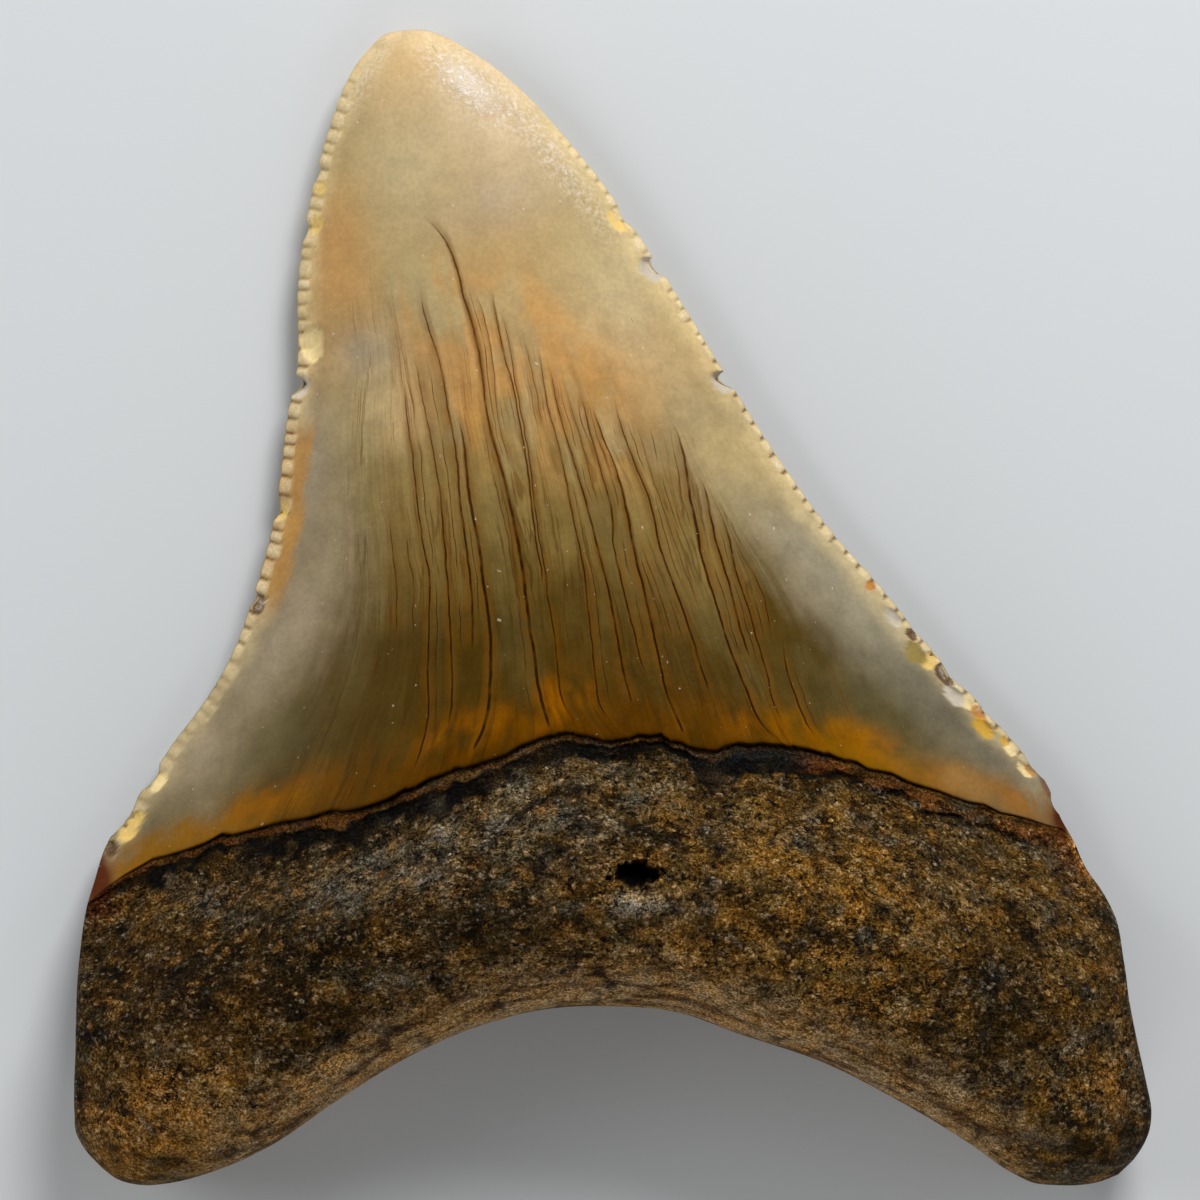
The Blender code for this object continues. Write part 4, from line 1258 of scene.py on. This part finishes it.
def make_root():
    """The bony root: two faces that share the arch and the sides, closed under the crown."""
    parts = MeshParts()
    numbers = []
    for above in (True, False):
        grid = tuck_under_enamel(root_relief(root_grid(above), above), above)
        calm = beyond(grid["arch_gap"], 5.0, -2.5)
        open_bone = beyond(grid["under"], 2.3, 0.9) * (1.0 - 0.6 * calm)
        numbers.append(parts.add_grid(grid, root_tint(grid), [grid["hole"], open_bone]))
    front, back = numbers
    back[0], back[-1], back[:, 0] = front[0], front[-1], front[:, 0]
    parts.add_quads(front)
    parts.add_quads(back)
    parts.close_rims(front[:, -1], back[:, -1])
    return make_mesh("root_bone", parts, ["hole", "open_bone"])


def rgba(colour):
    """A colour with full cover."""
    return (*(float(band) for band in colour), 1.0)


class Shading:
    """A material and the nodes of its look. Its colour grows by one layer after another."""

    def __init__(self, name):
        self.material = bpy.data.materials.new(name)
        self.material.use_nodes = True
        self.tree = self.material.node_tree
        self.shader = self.tree.nodes["Principled BSDF"]

    def start(self, shine):
        """Sets the shine, the place in millimetres and the first colour, which rides on the mesh."""
        self.shader.inputs["Specular IOR Level"].default_value = 0.05
        self.shader.inputs["Specular Tint"].default_value = rgba(shine)
        place = self.node("ShaderNodeTexCoord").outputs["Object"]
        self.place = self.vector("SCALE", {0: place, "Scale": 1.0 / MM})
        split = self.node("ShaderNodeSeparateXYZ", {0: self.place})
        self.sideways, self.tall = split.outputs["X"], split.outputs["Y"]
        self.tint = self.node("ShaderNodeAttribute", attribute_name="tint").outputs["Color"]
        self.colour = self.tint

    def node(self, kind, sockets=None, **settings):
        """Adds a node with its settings, and links or sets its sockets."""
        made = self.tree.nodes.new(kind)
        for name, value in settings.items():
            setattr(made, name, value)
        for key, value in (sockets or {}).items():
            if isinstance(value, bpy.types.NodeSocket):
                self.tree.links.new(value, made.inputs[key])
            else:
                made.inputs[key].default_value = value
        return made

    def vector(self, operation, sockets):
        """A sum or a multiple of places."""
        return self.node("ShaderNodeVectorMath", sockets, operation=operation).outputs[0]

    def mix(self, share, first, second, blend="MIX"):
        """Mixes two colours."""
        first, second = (
            value if isinstance(value, bpy.types.NodeSocket) else rgba(value)
            for value in (first, second)
        )
        settings = {"data_type": "RGBA", "blend_type": blend, "clamp_factor": True}
        return self.node("ShaderNodeMix", {0: share, 6: first, 7: second}, **settings).outputs[2]

    def lay(self, share, pigment, blend="MIX"):
        """Lays a pigment over the colour so far."""
        self.colour = self.mix(share, self.colour, pigment, blend)

    def maths(self, operation, first, second=0.0):
        """A difference, the larger of two values or the like."""
        return self.node("ShaderNodeMath", {0: first, 1: second}, operation=operation).outputs[0]

    def times(self, first, *others):
        """The product of values."""
        for other in others:
            first = self.maths("MULTIPLY", first, other)
        return first

    def plus(self, first, *others):
        """The sum of values."""
        for other in others:
            first = self.maths("ADD", first, other)
        return first

    def ramp(self, value, low, high, start=0.0, end=1.0):
        """Carries a value from one range to another, eased and kept inside it."""
        sockets = {"Value": value, "From Min": low, "From Max": high, "To Min": start, "To Max": end}
        made = self.node("ShaderNodeMapRange", sockets, interpolation_type="SMOOTHSTEP")
        return made.outputs["Result"]

    def grain(self, place, size, detail=2.0, roughness=0.5):
        """Noise whose bumps have the given size in the units of the place."""
        sockets = {"Vector": place, "Scale": 1.0 / size, "Detail": detail, "Roughness": roughness}
        return self.node("ShaderNodeTexNoise", sockets).outputs["Fac"]

    def bend(self, place, size, amount):
        """The place, pushed about by noise of the given size."""
        sockets = {"Vector": place, "Scale": 1.0 / size, "Detail": 3.0}
        push = self.node("ShaderNodeTexNoise", sockets).outputs["Color"]
        return self.vector("ADD", {0: place, 1: self.vector("SCALE", {0: push, "Scale": amount})})

    def cells(self, place, size):
        """Cells of the given size: distance from the cell's middle, and a chance for each cell."""
        made = self.node("ShaderNodeTexVoronoi", {"Vector": place, "Scale": 1.0 / size})
        return made.outputs["Distance"], self.band_of(made.outputs["Color"], 0)

    def band_of(self, colour, band):
        """One of a colour's three bands."""
        return self.node("ShaderNodeSeparateColor", {0: colour}).outputs[band]

    def value_of(self, name):
        """A value that rides on the mesh."""
        return self.node("ShaderNodeAttribute", attribute_name=name).outputs["Fac"]

    def stretched(self, scale, turn=0.0):
        """The place, turned about the vertical and then scaled."""
        sockets = {"Vector": self.place, "Rotation": (0.0, 0.0, -turn), "Scale": scale}
        return self.node("ShaderNodeMapping", sockets).outputs[0]

    def fanned(self, across_scale, along_scale, shift):
        """A place that runs across and along the fan of the crown's cracks."""
        sockets = {
            "X": self.times(self.value_of("fan"), across_scale),
            "Y": self.times(self.tall, along_scale), "Z": shift,
        }
        return self.node("ShaderNodeCombineXYZ", sockets).outputs[0]

    def hairlines(self, place, width, size=1.0):
        """Thin wandering lines: the places where a noise is close to its middle value."""
        offset = self.maths("SUBTRACT", self.grain(place, size, 3.0, 0.6), 0.5)
        return self.ramp(self.maths("ABSOLUTE", offset), width, width * 0.25)

    def finish(self, roughness, height):
        """Links the colour, the roughness and the fine relief, whose height is in millimetres."""
        bump = self.node("ShaderNodeBump", {"Height": height, "Distance": MM, "Strength": 1.0})
        sockets = {"Base Color": self.colour, "Roughness": roughness, "Normal": bump.outputs[0]}
        for name, value in sockets.items():
            self.tree.links.new(value, self.shader.inputs[name])
        return self.material


def lay_enamel_lines(made, mottle, body):
    """Fine brown lines along the fan, the stain beside cracks, and the cracks themselves."""
    tall = made.tall
    line_colour = made.mix(made.ramp(tall, 4.0, 16.0), LINE_DARK, LINE_BROWN)
    for across_scale, shift, width in ((40.0, 7.0, 0.022), (66.0, 15.0, 0.024)):
        lines = made.hairlines(made.fanned(across_scale, 0.045, shift), width)
        shown = made.grain(made.fanned(30.0, 0.09, shift + 4.0), 1.0, 2.0)
        made.lay(made.times(lines, made.ramp(shown, 0.44, 0.62, 0.0, 0.5), body), line_colour)
    made.lay(made.times(made.value_of("stain"), made.ramp(mottle, 0.3, 0.6, 0.2, 0.75)), HALO_BROWN)
    broken = made.ramp(made.grain(made.place, 1.4, 2.0), 0.3, 0.55, 0.6, 0.95)
    crack = made.times(made.ramp(made.value_of("crack"), 0.1, 0.65), broken)
    made.lay(crack, made.mix(made.ramp(tall, 2.0, 18.0), CRACK_BROWN, CRACK_UPPER))
    return crack


def lay_enamel_specks_and_highlight(made):
    """Pale specks, and the painted highlight: a pale crackle on the tip's slopes and on the bead tops.
    """
    dots, speckled = 0.0, made.bend(made.place, 0.5, 0.6)
    for size, rare in ((0.9, 0.9), (0.45, 0.92)):
        speck, chance = made.cells(speckled, size)
        shown = made.times(made.ramp(speck, 0.14, 0.04), made.ramp(chance, rare, rare + 0.02))
        dots = made.maths("MAXIMUM", dots, shown)
    made.lay(made.times(dots, 0.35), PALE_SPECK_AND_HIGHLIGHT)
    # The painted highlight: a pale crackle where the tip's slopes and the bead tops catch the light
    highlight_share = made.value_of("painted_highlight")
    crackle = made.ramp(made.grain(made.place, 0.4, 5.0, 0.75), 0.4, 0.66)
    highlight_crackle = made.times(made.plus(crackle, made.ramp(highlight_share, 0.7, 1.3, 0.0, 0.45)), highlight_share)
    made.lay(made.times(highlight_crackle, 0.75), PALE_SPECK_AND_HIGHLIGHT)
    return highlight_crackle


def enamel_material():
    """Worn glossy enamel: mottled tint, streaks and fine lines, dark cracks, pale specks and a painted
    highlight.
    """
    made = Shading("crown_enamel")
    made.start((1.0, 0.75, 0.4))
    fan = made.value_of("fan")
    mottle = made.grain(made.place, 2.2, 5.0, 0.6)
    fine = made.grain(made.place, 0.35, 3.0, 0.6)
    fibres = made.grain(made.fanned(220.0, 0.13, 0.0), 1.0, 3.0, 0.6)
    bands = made.grain(made.fanned(40.0, 0.07, 3.0), 1.0, 3.0, 0.6)
    top = made.plus(made.tall, made.times(fan, 16.0))
    sides = made.times(made.ramp(fan, 0.1, 0.2), made.ramp(fan, 0.86, 0.74))
    body = made.times(sides, made.ramp(top, 32.0, 20.0))
    calm = made.ramp(made.tall, 16.0, 30.0, 1.0, 0.5)
    made.lay(calm, made.ramp(mottle, 0.3, 0.7, 0.88, 1.12), "MULTIPLY")
    made.lay(1.0, made.ramp(fine, 0.25, 0.75, 0.93, 1.07), "MULTIPLY")
    made.lay(made.times(made.ramp(bands, 0.42, 0.6), body, 0.3), STREAK_OLIVE, "MULTIPLY")
    made.lay(made.times(made.ramp(fibres, 0.45, 0.62, 0.0, 0.18), body), STREAK_OLIVE, "MULTIPLY")
    crack = lay_enamel_lines(made, mottle, body)
    highlight_crackle = lay_enamel_specks_and_highlight(made)
    rough = made.maths("MAXIMUM", made.ramp(mottle, 0.3, 0.7, 0.27, 0.4), made.times(crack, 0.8))
    relief = (mottle, 0.05), (fine, 0.018), (made.times(fibres, body), 0.012), (highlight_crackle, 0.05)
    return made.finish(rough, made.plus(*(made.times(*layer) for layer in relief)))


def lay_bone_grains(made, bone, mixed, lumps, zones):
    """Dark and bright grains over the bone's tint. Returns the bright colour."""
    tint = made.tint
    bright = made.mix(1.0, tint, GRAIN_LIGHT, "ADD")
    bright = made.mix(made.ramp(lumps, 0.5, 0.62, 0.0, 0.6), bright, ROOT_OCHRE)
    bright = made.mix(made.ramp(lumps, 0.46, 0.36, 0.0, 0.5), bright, ROOT_PALE_AND_HIGHLIGHT * 0.5)
    lit = made.ramp(made.band_of(tint, 1), 0.015, 0.08, 0.65, 1.0)
    vivid = made.times(made.ramp(zones, 0.4, 0.6, 0.65, 1.0), lit)
    darker = made.times(made.ramp(mixed, 0.5, 0.41), made.ramp(bone, 0.0, 1.0, 0.6, 0.95), vivid)
    brighter = made.times(made.ramp(mixed, 0.53, 0.63), made.ramp(bone, 0.0, 1.0, 0.08, 1.0), vivid)
    made.lay(darker, made.mix(1.0, tint, GRAIN_DARK, "MULTIPLY"))
    made.lay(brighter, bright)
    return bright


def lay_bone_crumbs(made, bone, crumbs, bright):
    """Black pits and tan flecks, one to a crumb."""
    gap, chance = crumbs
    shape = made.times(made.ramp(gap, 0.5, 0.34), bone)
    pit = made.times(shape, made.ramp(chance, 0.14, 0.1))
    fleck = made.times(shape, made.ramp(chance, 0.87, 0.91))
    made.lay(made.times(pit, 0.85), ROOT_BLACK)
    made.lay(made.times(fleck, 0.4), made.mix(1.0, bright, FLECK_TAN, "ADD"))


def lay_bone_creases(made, bone, bent, clumps, grains, zones):
    """Black creases, partly painted shade, ochre nubs and long slanting fissures."""
    # Black lines where the clumps of the bump lie low: partly the bone's dark cracks, partly painted
    # shade
    crease = made.times(made.hairlines(bent, 0.03, 1.1), made.ramp(clumps, 0.54, 0.46))
    made.lay(made.times(crease, bone), ROOT_BLACK)
    gap, chance = made.cells(bent, 1.1)
    nub = made.times(made.ramp(gap, 0.5, 0.3), made.ramp(chance, 0.9, 0.94), bone)
    made.lay(made.times(nub, made.ramp(grains, 0.4, 0.55, 0.1, 0.6)), NUB_OCHRE)
    right = made.ramp(made.sideways, -6.0, 6.0)
    for turn, part in ((0.5, made.maths("SUBTRACT", 1.0, right)), (-0.6, right)):
        lines = made.hairlines(made.stretched((0.45, 1.5, 1.0), turn), 0.035)
        lines = made.times(lines, made.ramp(zones, 0.44, 0.54), made.ramp(grains, 0.44, 0.54))
        made.lay(made.times(lines, made.times(bone, part)), ROOT_BLACK)


def bone_material():
    """Fossil bone: dark brown with ochre and black grains and painted glints, dull, finely pitted."""
    made = Shading("root_bone")
    made.start((1.0, 0.75, 0.5))
    flat, bone = made.stretched((0.85, 1.0, 1.0)), made.value_of("open_bone")
    clumps = made.grain(flat, 1.6, 5.0, 0.65)
    grains = made.grain(flat, 0.4, 4.0, 0.8)
    dust = made.grain(made.place, 0.2, 3.0, 0.8)
    zones = made.grain(made.place, 4.0, 4.0, 0.6)
    lumps = made.grain(made.place, 1.7, 3.0, 0.6)
    bent = made.bend(flat, 0.5, 0.6)
    gap, chance = made.cells(bent, 0.42)
    crumb = made.maths("SUBTRACT", chance, made.times(gap, 0.9))
    mixed = made.plus(made.times(clumps, 0.35), made.times(grains, 0.65), made.times(crumb, 0.12))
    bright = lay_bone_grains(made, bone, mixed, lumps, zones)
    lay_bone_crumbs(made, bone, (gap, chance), bright)
    lay_bone_creases(made, bone, bent, clumps, grains, zones)
    made.lay(made.ramp(dust, 0.48, 0.41), DUST_DARK, "MULTIPLY")
    made.lay(made.ramp(dust, 0.53, 0.6), DUST_LIGHT, "MULTIPLY")
    hue = made.ramp(made.grain(flat, 2.2, 4.0, 0.7), 0.4, 0.6)
    made.lay(1.0, made.mix(hue, BONE_COOL, BONE_WARM), "MULTIPLY")
    # Painted glints: rare small pale dots on the open bone
    painted_glint, painted_glint_chance = made.cells(made.place, 0.5)
    painted_glint = made.times(made.ramp(painted_glint, 0.3, 0.14), made.ramp(painted_glint_chance, 0.9, 0.92))
    made.lay(made.times(painted_glint, made.ramp(bone, 0.5, 1.0, 0.0, 0.3)), ROOT_PALE_AND_HIGHLIGHT)
    # Painted shade in the nutrient hole
    made.lay(made.value_of("hole"), ROOT_BLACK * 0.4)
    relief = (clumps, 0.7), (grains, 0.4), (lumps, 0.5), (dust, 0.08)
    height = made.plus(*(made.times(*layer) for layer in relief))
    return made.finish(made.ramp(mixed, 0.3, 0.7, 0.8, 0.5), height)


def show_one(piece, material):
    """Gives a piece its material and its place in the frame."""
    piece.data.materials.append(material)
    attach(piece, "root")
    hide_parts("tooth")


def make_floor():
    """A plain pale floor."""
    bpy.ops.mesh.primitive_plane_add(size=4.0, location=(0.0, 0.0, -0.0001))
    floor = bpy.context.object
    floor.name = "floor"
    made = Shading("pale_floor")
    made.shader.inputs["Base Color"].default_value = rgba(FLOOR_COLOUR)
    made.shader.inputs["Roughness"].default_value = 0.8
    floor.data.materials.append(made.material)


def make_light(name, place, size, power):
    """A soft square light that faces the tooth's middle."""
    data = bpy.data.lights.new(name, "AREA")
    data.shape = "SQUARE"
    data.size = size
    data.energy = power
    light = bpy.data.objects.new(name, data)
    light.location = place
    light.rotation_euler = (Vector() - Vector(place)).to_track_quat("-Z", "Y").to_euler()
    bpy.context.scene.collection.objects.link(light)


def make_camera():
    """The camera looks straight down at the tooth and frames it as the photograph does."""
    data = bpy.data.cameras.new("camera")
    data.lens = LENS_LENGTH
    data.sensor_width = SENSOR_WIDTH
    camera = bpy.data.objects.new("camera", data)
    x, y = from_photo(*PHOTO_CENTRE)
    width = PHOTO_WIDTH * PIXEL * MM
    camera.location = (x * MM, y * MM, FOCUS_HEIGHT * MM + width * data.lens / data.sensor_width)
    bpy.context.scene.collection.objects.link(camera)
    bpy.context.scene.camera = camera


def make_stage():
    """Floor, lights, sky and camera."""
    make_floor()
    for light in LIGHTS:
        make_light(*light)
    world = bpy.data.worlds.new("sky")
    world.use_nodes = True
    world.node_tree.nodes["Background"].inputs["Color"].default_value = (1.0, 1.0, 1.0, 1.0)
    world.node_tree.nodes["Background"].inputs["Strength"].default_value = SKY_STRENGTH
    bpy.context.scene.world = world
    bpy.context.scene.view_settings.view_transform = "Standard"
    make_camera()


show_one(make_crown(), enamel_material())
show_one(make_root(), bone_material())
make_stage()
